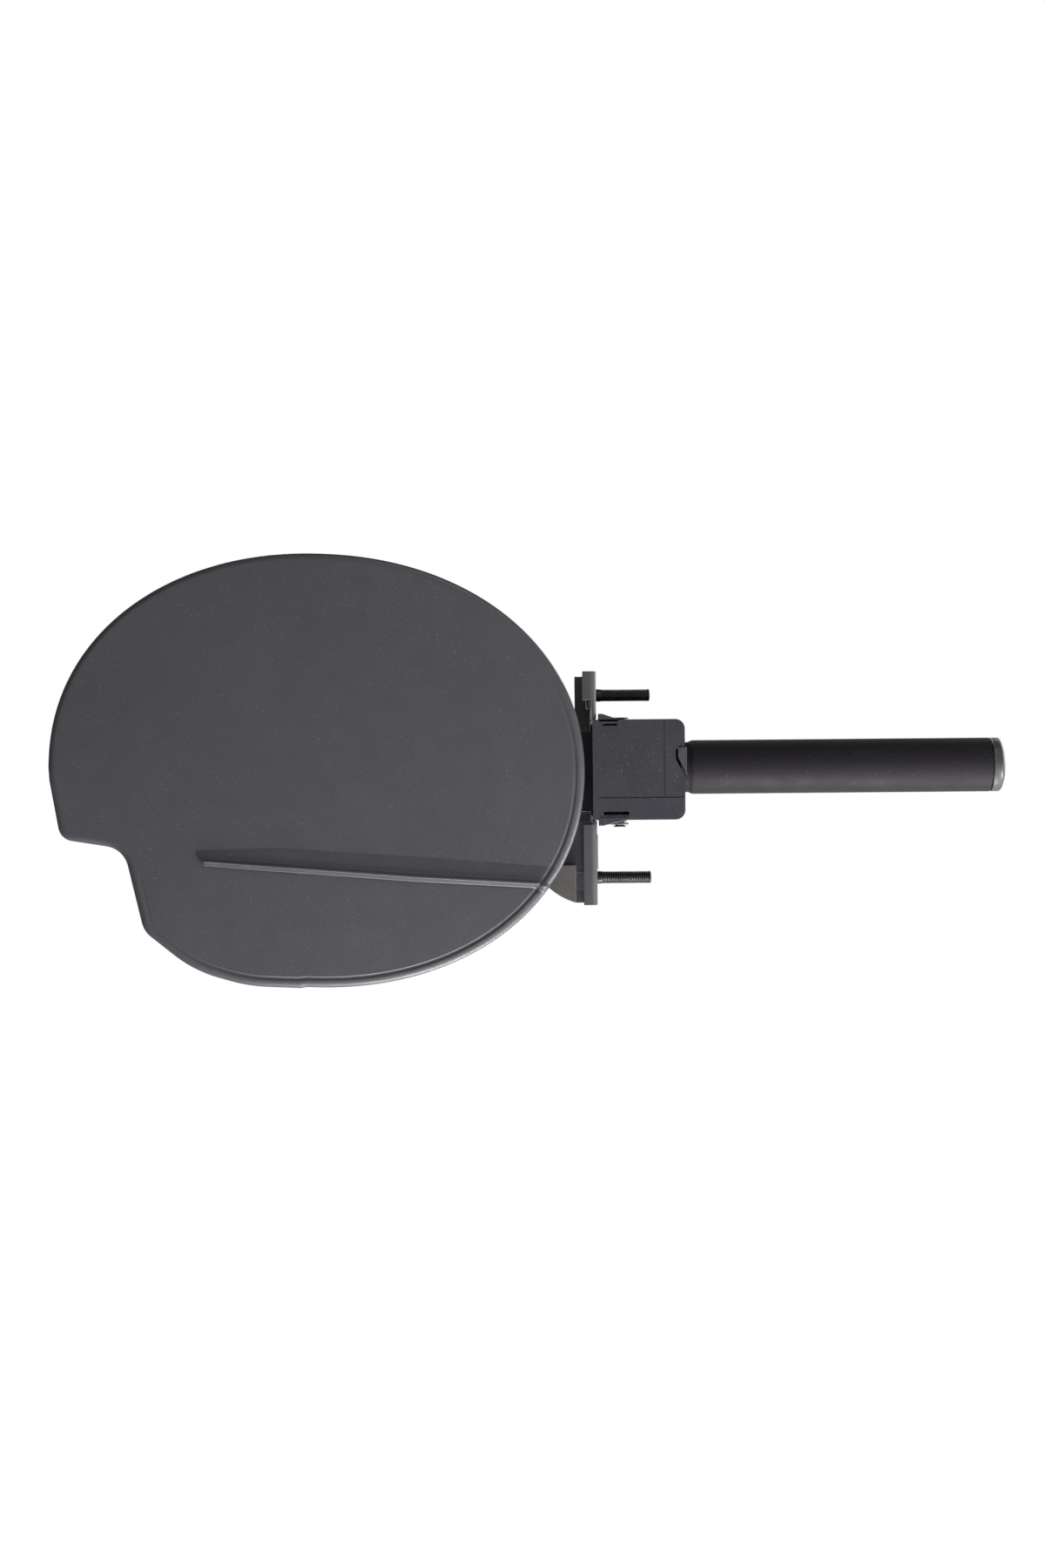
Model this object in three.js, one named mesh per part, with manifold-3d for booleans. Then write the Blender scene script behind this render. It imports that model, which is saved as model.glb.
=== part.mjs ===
// Fuel filler flap with its over-centre gooseneck hinge, as mounted on a vehicle's side.
// Millimetres, +Z up. The flap's outer skin faces -Y, the hinge plate bolts to a wall on its +X side.
// The origin is on the plate's mounting face, on the solid land between the housing and the lower stud.
import * as THREE from 'three';
import { ConvexGeometry } from 'three/addons/geometries/ConvexGeometry.js';
import { mergeVertices } from 'three/addons/utils/BufferGeometryUtils.js';
import Module from 'manifold-3d';

const wasm = await Module();
wasm.setup();

// ---- driving dimensions -------------------------------------------------------------------
const GAP = 0.3;                       // between pieces that touch
const ROUND = 24;                      // sides of a small round piece

const SKIN_Y = -25.5;                  // front face of the flap's outer skin
const depth = (d) => SKIN_Y + d;       // y of a point d behind the outer skin's front

const FLAP = { x: -87.5, z: 24.7, halfWidth: 83.4, halfHeight: 67.4, power: 2.1, tilt: -3.25 };
const SKIN_T = 0.9;
const HEM = { depth: 2.9, width: 4.5, edgeRadius: 1.1 };
const PANEL_T = 0.7;
const PAN = { inset: 9, back: 5.2, wallDraft: 0.8 };

// finger notch corners from the flap's centre, each with its corner radius
const NOTCH = [
  { x: -83.1, z: -2.5, r: 0 },
  { x: -79.8, z: -20.8, r: 5 },
  { x: -60.2, z: -23.9, r: 8 },
  { x: -54.1, z: -49.6, r: 8 },
  { x: -38.6, z: -62.0, r: 40 },
  { x: -21.7, z: -66.9, r: 50 },
  { x: -4.2, z: -67.7, r: 0 },
];
const NOTCH_FROM = 183;                // outline angle where the notch starts, degrees
const NOTCH_TO = 269;                  // outline angle where it ends

// raised crease: its upper foot and its ridge, from the flap's centre
const CREASE_TOP = [[-38.1, -24.6], [-12.4, -23.8], [39.3, -27.6], [80, -31.1]];
const CREASE_RIDGE = [[-35.3, -27.9], [-14.3, -29.7], [30.1, -33.3], [80, -36.4]];
const CREASE = { height: 1.7, drop: 1.6, stations: 9, tipShare: 0.35, tipLength: 25, rooted: 0.5, sunk: 0.2 };

const PLATE = { thick: 1.5, halfDepth: 21.5, bottom: -18.1, top: 54.9 };
const SEAT = { y: [-18, 18], z: [-7, 4], proud: 0.3 };   // embossed land that meets the wall
const NEAR_FLANGE = 4.6;               // reach of the near flange from the mounting face
const FAR_FLANGE = 6.2;
const ARM_GAP = { bottom: 7.0, top: 45.9 };   // height over which the near flange is cut away

const STUD = { r: 2.0, length: 17.4, chamfer: 0.6, headR: 4.5, headT: 1.2, z: [-10.2, 48.0], y: 0 };

const HOUSING = {
  left: -PLATE.thick, right: 27.3, bottom: 8.4, top: 39.8, near: -21.3, far: 8.0, wall: 1.2, corner: 3,
};
// corners of the angular notch in the housing's near wall, where the tube's neck shows
const WALL_NOTCH = [[30, 31.5], [25.6, 31.5], [24.4, 30], [24.4, 27.4], [27.3, 21.5], [30, 21.5]];
const LUG = { reach: 1.8, flat: 1.2, upperEnd: 6.8, lowerEnd: 9.7, width: 3.4 };

const PIVOT = { x: 7.0, y: depth(10.8), pinR: 2.0, boreR: 2.15, headR: 3.0, headT: 0.4 };
const PIN_TOP = HOUSING.top + GAP;
const PIN_BOTTOM = HOUSING.bottom - 2.2;
const CLIP = { r: 3.0, thick: 0.6, bottom: PIN_BOTTOM + 0.7, groove: 0.6, play: 0.15, mouth: 2.6 };
const BUSH = { bodyR: 3.0, flangeR: 4.4, flangeT: 0.5, body: 1.4 };
const CRANK = { radius: 7.5, angle: -15, pinR: 1.5, boreR: 1.65, headR: 2.4, headT: 0.6, tail: 0.9 };
const crankAngle = THREE.MathUtils.degToRad(CRANK.angle);
const LINK = {
  x: PIVOT.x + CRANK.radius * Math.cos(crankAngle),
  y: PIVOT.y + CRANK.radius * Math.sin(crankAngle),
};

const ARM = { width: 26, z: 23.8, thick: 1.5, deep: 27, legX: -19, footD: 6.35, footEnd: -62 };
const ARM_BOTTOM = ARM.z - ARM.width / 2;
const ARM_TOP = ARM.z + ARM.width / 2;
const EAR = { pivotR: 4.2, linkR: 3.0, thick: 1.5, rootD: 21 };
const SLEEVE_R = 3.1;                  // outside of the sleeve on the pivot pin
const SPACER_R = 2.6;                  // outside of the spacers on the link pin

const TUBE = {
  y: -10, z: 24.8, r: 8.5, bore: 7.5, neckR: 7.9, start: 24.0, shoulder: 28.8, neckEnd: 30.0, end: 124.1,
};
const CAP = { rimEnd: 127.2, end: 128.9, plugR: 7.2, plugStart: 119.8, dome: [[7.5, 128.1], [5, 128.7]] };

const ROD = { length: 30, tail: 1, r: 2.0, eyeR: 3.1, eyeT: 5.0, headR: 6.3 };
const EYE_BOTTOM = TUBE.z - ROD.eyeT / 2;
const EYE_TOP = TUBE.z + ROD.eyeT / 2;
const rodRise = TUBE.y - LINK.y;
const rodAngle = Math.asin(rodRise / ROD.length);
const HEAD = { x: LINK.x + ROD.length * Math.cos(rodAngle), y: TUBE.y };

const SPRING = { start: 51.5, end: 119.2, r: 5.9, wire: 0.85, coils: 9 };

const RIVET = { r: 1.9, hole: 2.2, headR: 3.6, tipR: 2.6, headT: 1.3, x: [-54, -32], z: [15.8, 31.8] };
const BUFFER = { r: 5.5, tip: 1.5, neckR: 2.6, barbR: 3.8, barbT: 2.4, hole: 2.9, length: 6.5 };
const BUFFER_AT = [[-148, 44], [-104, -14]];

const STOP = { near: depth(6.6), thick: 1.5, left: -15.0, top: 8.0, bottom: -17.4, footD: 24, footTop: -5.4 };
const SLOT = { x: [-6.9, -4.2], z: [-13.5, -8.0] };   // window in the bracket beside the pad
const PAD = { near: depth(3.3), left: -20.0, right: -7.0, top: -5.4 };
const STOP_ARC = { x: -0.5, z: 4.2, r: 22.5 };        // round outline of the bracket and its pad

// ---- materials ----------------------------------------------------------------------------
const finish = (color, roughness, metalness) => () =>
  new THREE.MeshStandardMaterial({ color, roughness, metalness });
const flapCoat = finish(0x4a494e, 0.5, 0.1);
const hingeCoat = finish(0x3c3d46, 0.45, 0.2);
const steel = finish(0x8c8c90, 0.4, 0.9);
const nylon = finish(0x2b2b2d, 0.6, 0.0);
const rubber = finish(0x524e4c, 0.85, 0.0);

// ---- solids -------------------------------------------------------------------------------
function solid(geometry) {
  const bare = geometry.clone();
  bare.deleteAttribute('normal');
  bare.deleteAttribute('uv');
  const merged = mergeVertices(bare, 1e-5);
  const vertProperties = new Float32Array(merged.attributes.position.array);
  const triVerts = new Uint32Array(merged.index.array);
  return new wasm.Manifold(new wasm.Mesh({ numProp: 3, vertProperties, triVerts }));
}

function geometryOf(manifold) {
  const { vertProperties, triVerts } = manifold.getMesh();
  const geometry = new THREE.BufferGeometry();
  geometry.setAttribute('position', new THREE.BufferAttribute(vertProperties, 3));
  geometry.setIndex(new THREE.BufferAttribute(triVerts, 1));
  geometry.computeVertexNormals();
  return geometry;
}

function piece(name, shape, material) {
  const mesh = new THREE.Mesh(geometryOf(shape), material());
  mesh.name = name;
  return mesh;
}

const sum = (solids) => solids.reduce((all, next) => all.add(next));
const less = (body, cuts) => cuts.reduce((left, cut) => left.subtract(cut), body);

function block([x0, x1], [y0, y1], [z0, z1]) {
  const geometry = new THREE.BoxGeometry(x1 - x0, y1 - y0, z1 - z0);
  geometry.translate((x0 + x1) / 2, (y0 + y1) / 2, (z0 + z1) / 2);
  return solid(geometry);
}

// axes of an extrusion: where its outline's two directions and its length point
const AXES = {
  xy: [[1, 0, 0], [0, 1, 0], [0, 0, 1]],
  yz: [[0, 1, 0], [0, 0, 1], [1, 0, 0]],
  zx: [[0, 0, 1], [1, 0, 0], [0, 1, 0]],
};

// an outline in the named plane, extruded from one value of the third axis to another
function extrude(outline, plane, from, to, bevel = 0) {
  const shape = outline.isShape ? outline : new THREE.Shape(outline.map(([a, b]) => new THREE.Vector2(a, b)));
  const geometry = new THREE.ExtrudeGeometry(shape, {
    depth: to - from - 2 * bevel,
    bevelEnabled: bevel > 0,
    bevelThickness: bevel,
    bevelSize: bevel,
    bevelOffset: -bevel,
    bevelSegments: 2,
    curveSegments: 6,
  });
  geometry.translate(0, 0, from + bevel);
  const basis = AXES[plane].map((axis) => new THREE.Vector3(...axis));
  geometry.applyMatrix4(new THREE.Matrix4().makeBasis(...basis));
  return solid(geometry);
}

// a solid of revolution about Z or X: the profile is [radius, height] and starts and ends on the axis
function turned(profile, axis, at, sides = ROUND) {
  const points = profile.map(([r, h]) => new THREE.Vector2(r, h));
  const geometry = new THREE.LatheGeometry(points, sides);
  if (axis === 'z') geometry.rotateX(Math.PI / 2);
  else geometry.rotateZ(-Math.PI / 2);
  geometry.translate(...at);
  return solid(geometry);
}

function cylinder(axis, radius, from, to, [a, b], sides = ROUND) {
  const profile = [[0, from], [radius, from], [radius, to], [0, to]];
  return turned(profile, axis, axis === 'z' ? [a, b, 0] : [0, a, b], sides);
}

// a straight-sided run of corners, each rounded with its own radius; the two ends stay sharp
function rounded(corners, steps = 5) {
  const points = [];
  corners.forEach((corner, i) => {
    const here = new THREE.Vector2(corner.x, corner.z);
    if (i === 0 || i === corners.length - 1) {
      points.push(here);
      return;
    }
    const back = new THREE.Vector2(corners[i - 1].x, corners[i - 1].z).sub(here).normalize();
    const on = new THREE.Vector2(corners[i + 1].x, corners[i + 1].z).sub(here).normalize();
    const half = Math.acos(back.dot(on)) / 2;
    const reach = corner.r / Math.tan(half);
    const start = here.clone().addScaledVector(back, reach);
    const end = here.clone().addScaledVector(on, reach);
    const centre = here.clone().addScaledVector(back.clone().add(on).normalize(), corner.r / Math.sin(half));
    const from = start.clone().sub(centre).angle();
    const turn = end.clone().sub(centre).angle() - from;
    const sweep = turn - 2 * Math.PI * Math.round(turn / (2 * Math.PI));
    for (let k = 0; k <= steps; k += 1) {
      const angle = from + (sweep * k) / steps;
      points.push(new THREE.Vector2(Math.cos(angle), Math.sin(angle)).multiplyScalar(corner.r).add(centre));
    }
  });
  return points;
}

// each point of a closed or open run moved to its left by a distance
function offset(points, distance, closed) {
  const last = points.length - 1;
  return points.map((point, i) => {
    const before = points[i === 0 ? (closed ? last : 0) : i - 1];
    const after = points[i === last ? (closed ? 0 : last) : i + 1];
    const along = after.clone().sub(before).normalize();
    return new THREE.Vector2(point.x - along.y * distance, point.y + along.x * distance);
  });
}

// ---- the flap -----------------------------------------------------------------------------
// outline of the oval flap with its finger notch, counter-clockwise as seen from the front
function flapOutline() {
  const steps = 68;
  const tilt = THREE.MathUtils.degToRad(FLAP.tilt);
  const power = 2 / FLAP.power;
  const points = [];
  for (let k = 1; k < steps; k += 1) {
    const angle = THREE.MathUtils.degToRad(NOTCH_TO - 360 + ((360 - NOTCH_TO + NOTCH_FROM) * k) / steps);
    const x = FLAP.halfWidth * Math.sign(Math.cos(angle)) * Math.abs(Math.cos(angle)) ** power;
    const z = FLAP.halfHeight * Math.sign(Math.sin(angle)) * Math.abs(Math.sin(angle)) ** power;
    points.push(new THREE.Vector2(x, z).rotateAround(new THREE.Vector2(), tilt));
  }
  const outline = points.concat(rounded(NOTCH));
  return outline.map((point) => new THREE.Vector2(point.x + FLAP.x, point.y + FLAP.z));
}

function distanceTo(outline, point) {
  const nearest = new THREE.Vector3();
  const flat = new THREE.Vector3(point.x, point.y, 0);
  const corners = outline.map((corner) => new THREE.Vector3(corner.x, corner.y, 0));
  return Math.min(...corners.map((corner, i) => {
    const side = new THREE.Line3(corner, corners[(i + 1) % corners.length]);
    return side.closestPointToPoint(flat, true, nearest).distanceTo(flat);
  }));
}

// the outline drawn in by a distance, without the points that fold over at tight corners
function drawnIn(outline, inset) {
  return offset(outline, inset, true).filter((point) => distanceTo(outline, point) > inset - 0.03);
}

// the flap's outline drawn in by a distance, extruded between two depths behind the outer skin
function flapLayer(inset, near, far, bevel = 0) {
  const inner = inset > 0 ? drawnIn(flapOutline(), inset) : flapOutline();
  const outline = inner.map((point) => [point.y, point.x]).reverse();
  return extrude(outline, 'zx', depth(near), depth(far), bevel);
}

function pointOnLine(line, x) {
  const i = Math.min(line.findIndex((point) => point[0] >= x), line.length - 1);
  const [a, b] = [line[Math.max(i, 1) - 1], line[Math.max(i, 1)]];
  return a[1] + ((b[1] - a[1]) * (x - a[0])) / (b[0] - a[0]);
}

// wedge of the crease, pushed in by a distance: a gentle rise to the ridge and a steep drop below it
function creaseWedge(pushedIn) {
  const left = CREASE_TOP[0][0];
  const right = CREASE_TOP.at(-1)[0];
  const wedges = [];
  const section = (x) => {
    const rise = CREASE.height * Math.min(1, CREASE.tipShare + (x - left) / CREASE.tipLength);
    const foot = pointOnLine(CREASE_TOP, x);
    const ridge = pointOnLine(CREASE_RIDGE, Math.max(x, CREASE_RIDGE[0][0]));
    const lowerFoot = ridge - CREASE.drop;
    const corners = [
      [foot, CREASE.sunk], [ridge, -rise], [lowerFoot, CREASE.sunk],
      [foot, CREASE.rooted], [lowerFoot, CREASE.rooted],
    ];
    return corners.map(([z, d]) => new THREE.Vector3(x + FLAP.x, depth(d + pushedIn), z + FLAP.z));
  };
  for (let k = 0; k < CREASE.stations; k += 1) {
    const x0 = left + ((right - left) * k) / CREASE.stations;
    const x1 = left + ((right - left) * (k + 1)) / CREASE.stations;
    wedges.push(solid(new ConvexGeometry([...section(x0), ...section(x1)])));
  }
  return sum(wedges);
}

function outerSkin() {
  const hemFront = HEM.depth - PANEL_T;
  const shell = flapLayer(0, 0, HEM.depth, HEM.edgeRadius).add(
    creaseWedge(0).intersect(flapLayer(HEM.edgeRadius, -3, HEM.depth)));
  return less(shell, [
    flapLayer(SKIN_T, SKIN_T, hemFront),
    flapLayer(HEM.width, SKIN_T, HEM.depth + 1),
    creaseWedge(SKIN_T).intersect(flapLayer(HEM.width, -3, HEM.depth)),
  ]);
}

function innerPanel() {
  const near = SKIN_T + GAP;
  const flange = flapLayer(SKIN_T + GAP, near, near + PANEL_T);
  const pan = flapLayer(PAN.inset, near, PAN.back);
  const hollow = flapLayer(PAN.inset + PAN.wallDraft, near - 1, PAN.back - PANEL_T);
  const holes = [];
  for (const x of RIVET.x) for (const z of RIVET.z) holes.push(throughY(RIVET.hole, x, z));
  for (const [x, z] of BUFFER_AT) holes.push(throughY(BUFFER.hole, x, z));
  return less(flange.add(pan), [hollow, ...holes]);
}

// a round cutter along Y through everything on the flap
function throughY(radius, x, z) {
  return turnedY([[0, -5], [radius, -5], [radius, 40], [0, 40]], x, z);
}

// a turned piece on an axis along +Y: heights are depths behind the outer skin
function turnedY(profile, x, z, sides = 16) {
  const points = profile.map(([r, d]) => new THREE.Vector2(r, depth(d)));
  const geometry = new THREE.LatheGeometry(points, sides);
  geometry.translate(x, 0, z);
  return solid(geometry);
}

function rivet(x, z) {
  const shopHead = PAN.back - PANEL_T - GAP;
  const back = ARM.footD + ARM.thick / 2 + GAP;
  return turnedY([
    [0, shopHead - RIVET.headT], [RIVET.tipR, shopHead - RIVET.headT],
    [RIVET.headR, shopHead], [RIVET.r, shopHead], [RIVET.r, back],
    [RIVET.headR, back], [RIVET.tipR, back + RIVET.headT], [0, back + RIVET.headT],
  ], x, z);
}

function buffer([x, z]) {
  const barb = PAN.back - PANEL_T - GAP;
  const seat = PAN.back + GAP;
  const end = seat + BUFFER.length;
  return turnedY([
    [0, barb - BUFFER.barbT], [BUFFER.neckR, barb - BUFFER.barbT], [BUFFER.barbR, barb], [BUFFER.neckR, barb],
    [BUFFER.neckR, seat], [BUFFER.r, seat],
    [BUFFER.r, end - BUFFER.tip], [BUFFER.r - BUFFER.tip, end], [0, end],
  ], x, z);
}

// gooseneck: from the pivot ears it runs deep, round the body's edge and back out to the flap
function gooseneck() {
  const run = rounded([
    { x: PIVOT.x, z: depth(17.5) },
    { x: PIVOT.x, z: depth(ARM.deep), r: 4.5 },
    { x: ARM.legX, z: depth(ARM.deep), r: 5 },
    { x: ARM.legX, z: depth(ARM.footD), r: 3.5 },
    { x: ARM.footEnd, z: depth(ARM.footD) },
  ]);
  const half = ARM.thick / 2;
  const outline = offset(run, -half, false).concat(offset(run, half, false).reverse());
  return extrude(outline.map((point) => [point.x, point.y]), 'xy', ARM_BOTTOM, ARM_TOP);
}

function circle({ x, y }, radius, sides) {
  return Array.from({ length: sides }, (_, k) => {
    const angle = (2 * Math.PI * k) / sides;
    return [x + radius * Math.cos(angle), y + radius * Math.sin(angle)];
  });
}

// one ear of the arm: the hull of its pivot eye, its crank eye and the start of the strip
function ear(bottom) {
  const start = [[PIVOT.x - ARM.thick / 2, depth(EAR.rootD)], [PIVOT.x + ARM.thick / 2, depth(EAR.rootD)]];
  const flat = [...circle(PIVOT, EAR.pivotR, 20), ...circle(LINK, EAR.linkR, 16), ...start];
  const levels = [bottom, bottom + EAR.thick];
  const corners = flat.flatMap(([x, y]) => levels.map((z) => new THREE.Vector3(x, y, z)));
  return solid(new ConvexGeometry(corners));
}

function hingeArm() {
  const ears = [ear(ARM_BOTTOM), ear(ARM_TOP - EAR.thick)];
  const bores = [
    cylinder('z', PIVOT.boreR, 0, 50, [PIVOT.x, PIVOT.y]),
    cylinder('z', CRANK.boreR, 0, 50, [LINK.x, LINK.y]),
  ];
  for (const x of RIVET.x) for (const z of RIVET.z) bores.push(throughY(RIVET.hole, x, z));
  return less(sum([gooseneck(), ...ears]), bores);
}

// ---- the mounting plate -------------------------------------------------------------------
function flange(reach, side, bottom, top) {
  const [near, far] = side < 0
    ? [-PLATE.halfDepth, -PLATE.halfDepth + PLATE.thick]
    : [PLATE.halfDepth - PLATE.thick, PLATE.halfDepth];
  return block([-reach, -PLATE.thick / 2], [near, far], [bottom, top]);
}

function mountingPlate() {
  const across = [-PLATE.halfDepth, PLATE.halfDepth];
  const web = block([-PLATE.thick, -SEAT.proud], across, [PLATE.bottom, PLATE.top]);
  const seat = block([-PLATE.thick, 0], SEAT.y, SEAT.z);
  const flanges = [
    flange(NEAR_FLANGE, -1, PLATE.bottom, ARM_GAP.bottom),
    flange(NEAR_FLANGE, -1, ARM_GAP.top, PLATE.top),
    flange(FAR_FLANGE, 1, PLATE.bottom, PLATE.top),
  ];
  const mouth = block([-PLATE.thick - 1, 1], [HOUSING.near - 1, HOUSING.far + GAP],
    [HOUSING.bottom - GAP, HOUSING.top + GAP]);
  const holes = STUD.z.map((z) => cylinder('x', STUD.r + GAP, -5, 5, [STUD.y, z]));
  return less(sum([web, seat, ...flanges]), [mouth, ...holes]);
}

function stud(z) {
  const headFace = -PLATE.thick - GAP;
  return turned([
    [0, headFace - STUD.headT], [STUD.headR, headFace - STUD.headT], [STUD.headR, headFace],
    [STUD.r, headFace], [STUD.r, STUD.length - STUD.chamfer],
    [STUD.r - STUD.chamfer, STUD.length], [0, STUD.length],
  ], 'x', [0, STUD.y, z]);
}

function stopBracket() {
  const right = -PLATE.thick - GAP;
  const tab = block([STOP.left, right], [STOP.near, STOP.near + STOP.thick], [STOP.bottom, STOP.top]);
  const footDepth = [STOP.near, depth(STOP.footD)];
  const foot = block([right - STOP.thick, right], footDepth, [STOP.bottom, STOP.footTop]);
  const headRoom = cylinder('x', STUD.headR + 1, -20, 0, [STUD.y, STUD.z[0]]);
  const window = block(SLOT.x, [STOP.near - 1, STOP.near + 4], SLOT.z);
  return tab.subtract(window).intersect(stopDisc(STOP.near - 1, STOP.near + 5)).add(foot.subtract(headRoom));
}

// round outline that trims the stop bracket and its pad
function stopDisc(near, far) {
  return extrude(circle({ x: STOP_ARC.z, y: STOP_ARC.x }, STOP_ARC.r, 48), 'zx', near, far);
}

function stopPad() {
  const slab = block([PAD.left, PAD.right], [PAD.near, STOP.near - GAP], [STOP.bottom - 4, PAD.top]);
  return slab.intersect(stopDisc(PAD.near - 1, STOP.near + 1));
}

// ---- the hinge housing --------------------------------------------------------------------
function housingOutline(inset) {
  const left = inset > 0 ? HOUSING.left - 5 : HOUSING.left;
  const r = HOUSING.corner - inset;
  const corners = rounded([
    { x: left, z: HOUSING.bottom + inset },
    { x: HOUSING.right - inset, z: HOUSING.bottom + inset, r },
    { x: HOUSING.right - inset, z: HOUSING.top - inset, r },
    { x: left, z: HOUSING.top - inset },
  ]);
  return corners.map((point) => [point.y, point.x]).reverse();
}

// lug that flares from the housing's wall towards the plate
function lug(wallZ, outward, end) {
  const outline = [[GAP, wallZ - outward], [end, wallZ - outward],
    [end, wallZ], [GAP + LUG.flat, wallZ + outward * LUG.reach], [GAP, wallZ + outward * LUG.reach]];
  const flat = outline.map(([x, z]) => [z, x]);
  return extrude(outward > 0 ? flat.reverse() : flat, 'zx', HOUSING.near, HOUSING.near + LUG.width);
}

function hingeHousing() {
  const wall = HOUSING.wall;
  const outer = extrude(housingOutline(0), 'zx', HOUSING.near, HOUSING.far);
  const inner = extrude(housingOutline(wall), 'zx', HOUSING.near + wall, HOUSING.far - wall);
  const lugs = [lug(HOUSING.top, 1, LUG.upperEnd), lug(HOUSING.bottom, -1, LUG.lowerEnd)];
  return less(sum([outer, ...lugs]), [
    inner,
    cylinder('x', TUBE.neckR + GAP, 20, 40, [TUBE.y, TUBE.z], 32),
    cylinder('z', BUSH.bodyR + GAP, 0, 60, [PIVOT.x, PIVOT.y]),
    extrude(WALL_NOTCH.map(([x, z]) => [z, x]), 'zx', HOUSING.near - 1, HOUSING.near + wall + 0.1),
  ]);
}

// flanged bush in the housing wall: the flange sits inside, against the arm's ear
function bush(wallInside, outward) {
  const face = wallInside - outward * GAP;
  const profile = [
    [PIVOT.boreR, -BUSH.flangeT], [BUSH.flangeR, -BUSH.flangeT], [BUSH.flangeR, 0],
    [BUSH.bodyR, 0], [BUSH.bodyR, BUSH.body], [PIVOT.boreR, BUSH.body], [PIVOT.boreR, -BUSH.flangeT],
  ];
  const heights = profile.map(([r, h]) => [r, face + outward * h]);
  return turned(outward > 0 ? heights : heights.reverse(), 'z', [PIVOT.x, PIVOT.y, 0]);
}

function pivotPin() {
  const headTop = PIN_TOP + PIVOT.headT;
  const grooveR = PIVOT.pinR - CLIP.groove;
  const grooveBottom = CLIP.bottom - GAP;
  const grooveTop = CLIP.bottom + CLIP.thick + GAP;
  return turned([
    [0, PIN_BOTTOM], [PIVOT.pinR, PIN_BOTTOM], [PIVOT.pinR, grooveBottom], [grooveR, grooveBottom],
    [grooveR, grooveTop], [PIVOT.pinR, grooveTop], [PIVOT.pinR, PIN_TOP], [PIVOT.headR, PIN_TOP],
    [PIVOT.headR, headTop], [0, headTop],
  ], 'z', [PIVOT.x, PIVOT.y, 0]);
}

function retainingClip() {
  const disc = cylinder('z', CLIP.r, CLIP.bottom, CLIP.bottom + CLIP.thick, [PIVOT.x, PIVOT.y]);
  const bore = cylinder('z', PIVOT.pinR - CLIP.groove + CLIP.play, 0, 20, [PIVOT.x, PIVOT.y]);
  const mouth = block([PIVOT.x, PIVOT.x + 9], [PIVOT.y - CLIP.mouth / 2, PIVOT.y + CLIP.mouth / 2], [0, 20]);
  return less(disc, [bore, mouth]);
}

function sleeve(at, inner, outer, [bottom, top]) {
  return turned([[inner, bottom], [outer, bottom], [outer, top], [inner, top], [inner, bottom]],
    'z', [at.x, at.y, 0], 20);
}

// ---- the spring tube ----------------------------------------------------------------------
function springTube() {
  const neckBore = TUBE.neckR - (TUBE.r - TUBE.bore);
  return turned([
    [neckBore, TUBE.start], [TUBE.neckR, TUBE.start], [TUBE.neckR, TUBE.shoulder],
    [TUBE.r, TUBE.neckEnd], [TUBE.r, TUBE.end], [TUBE.bore, TUBE.end], [TUBE.bore, TUBE.neckEnd],
    [neckBore, TUBE.shoulder], [neckBore, TUBE.start],
  ], 'x', [0, TUBE.y, TUBE.z], 40);
}

function tubeCap() {
  const rimStart = TUBE.end + GAP;
  return turned([
    [0, CAP.plugStart], [CAP.plugR, CAP.plugStart], [CAP.plugR, rimStart], [TUBE.r, rimStart],
    [TUBE.r, CAP.rimEnd], ...CAP.dome, [0, CAP.end],
  ], 'x', [0, TUBE.y, TUBE.z], 40);
}

class Helix extends THREE.Curve {
  getPoint(t, target = new THREE.Vector3()) {
    const angle = 2 * Math.PI * SPRING.coils * t;
    const x = SPRING.start + SPRING.wire + (SPRING.end - SPRING.start - 2 * SPRING.wire) * t;
    return target.set(x, TUBE.y + SPRING.r * Math.cos(angle), TUBE.z + SPRING.r * Math.sin(angle));
  }
}

function compressionSpring() {
  const section = circle({ x: 0, y: 0 }, SPRING.wire, 6);
  const wire = new THREE.Shape(section.map(([a, b]) => new THREE.Vector2(a, b)));
  return solid(new THREE.ExtrudeGeometry(wire, { steps: SPRING.coils * 14, extrudePath: new Helix() }));
}

// ---- the push rod and its link ------------------------------------------------------------
// points given along the rod from its eye, turned to the rod's angle at rest
function alongRod(solidAlongX) {
  const degrees = THREE.MathUtils.radToDeg(rodAngle);
  return solidAlongX.rotate([0, 0, degrees]).translate([LINK.x, LINK.y, TUBE.z]);
}

function pushRod() {
  const eye = cylinder('z', ROD.eyeR, -ROD.eyeT / 2, ROD.eyeT / 2, [0, 0]);
  const shank = cylinder('x', ROD.r, ROD.eyeR / 2, ROD.length + ROD.tail, [0, 0]);
  const bore = cylinder('z', CRANK.boreR, -9, 9, [0, 0]);
  return alongRod(eye.add(shank).subtract(bore));
}

function rodHead() {
  const ball = solid(new THREE.SphereGeometry(ROD.headR, 24, 14)).translate([ROD.length, 0, 0]);
  const socket = cylinder('x', ROD.r + GAP, 0, ROD.length + ROD.tail + GAP, [0, 0]);
  return alongRod(ball.subtract(socket));
}

function linkPin() {
  const top = ARM_TOP + GAP;
  const tail = ARM_BOTTOM - CRANK.tail;
  return turned([
    [0, tail], [CRANK.pinR, tail], [CRANK.pinR, top],
    [CRANK.headR, top], [CRANK.headR, top + CRANK.headT], [0, top + CRANK.headT],
  ], 'z', [LINK.x, LINK.y, 0], 20);
}

// ---- assembly -----------------------------------------------------------------------------
const part = new THREE.Group();
const add = (name, shape, material) => part.add(piece(name, shape, material));

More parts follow.
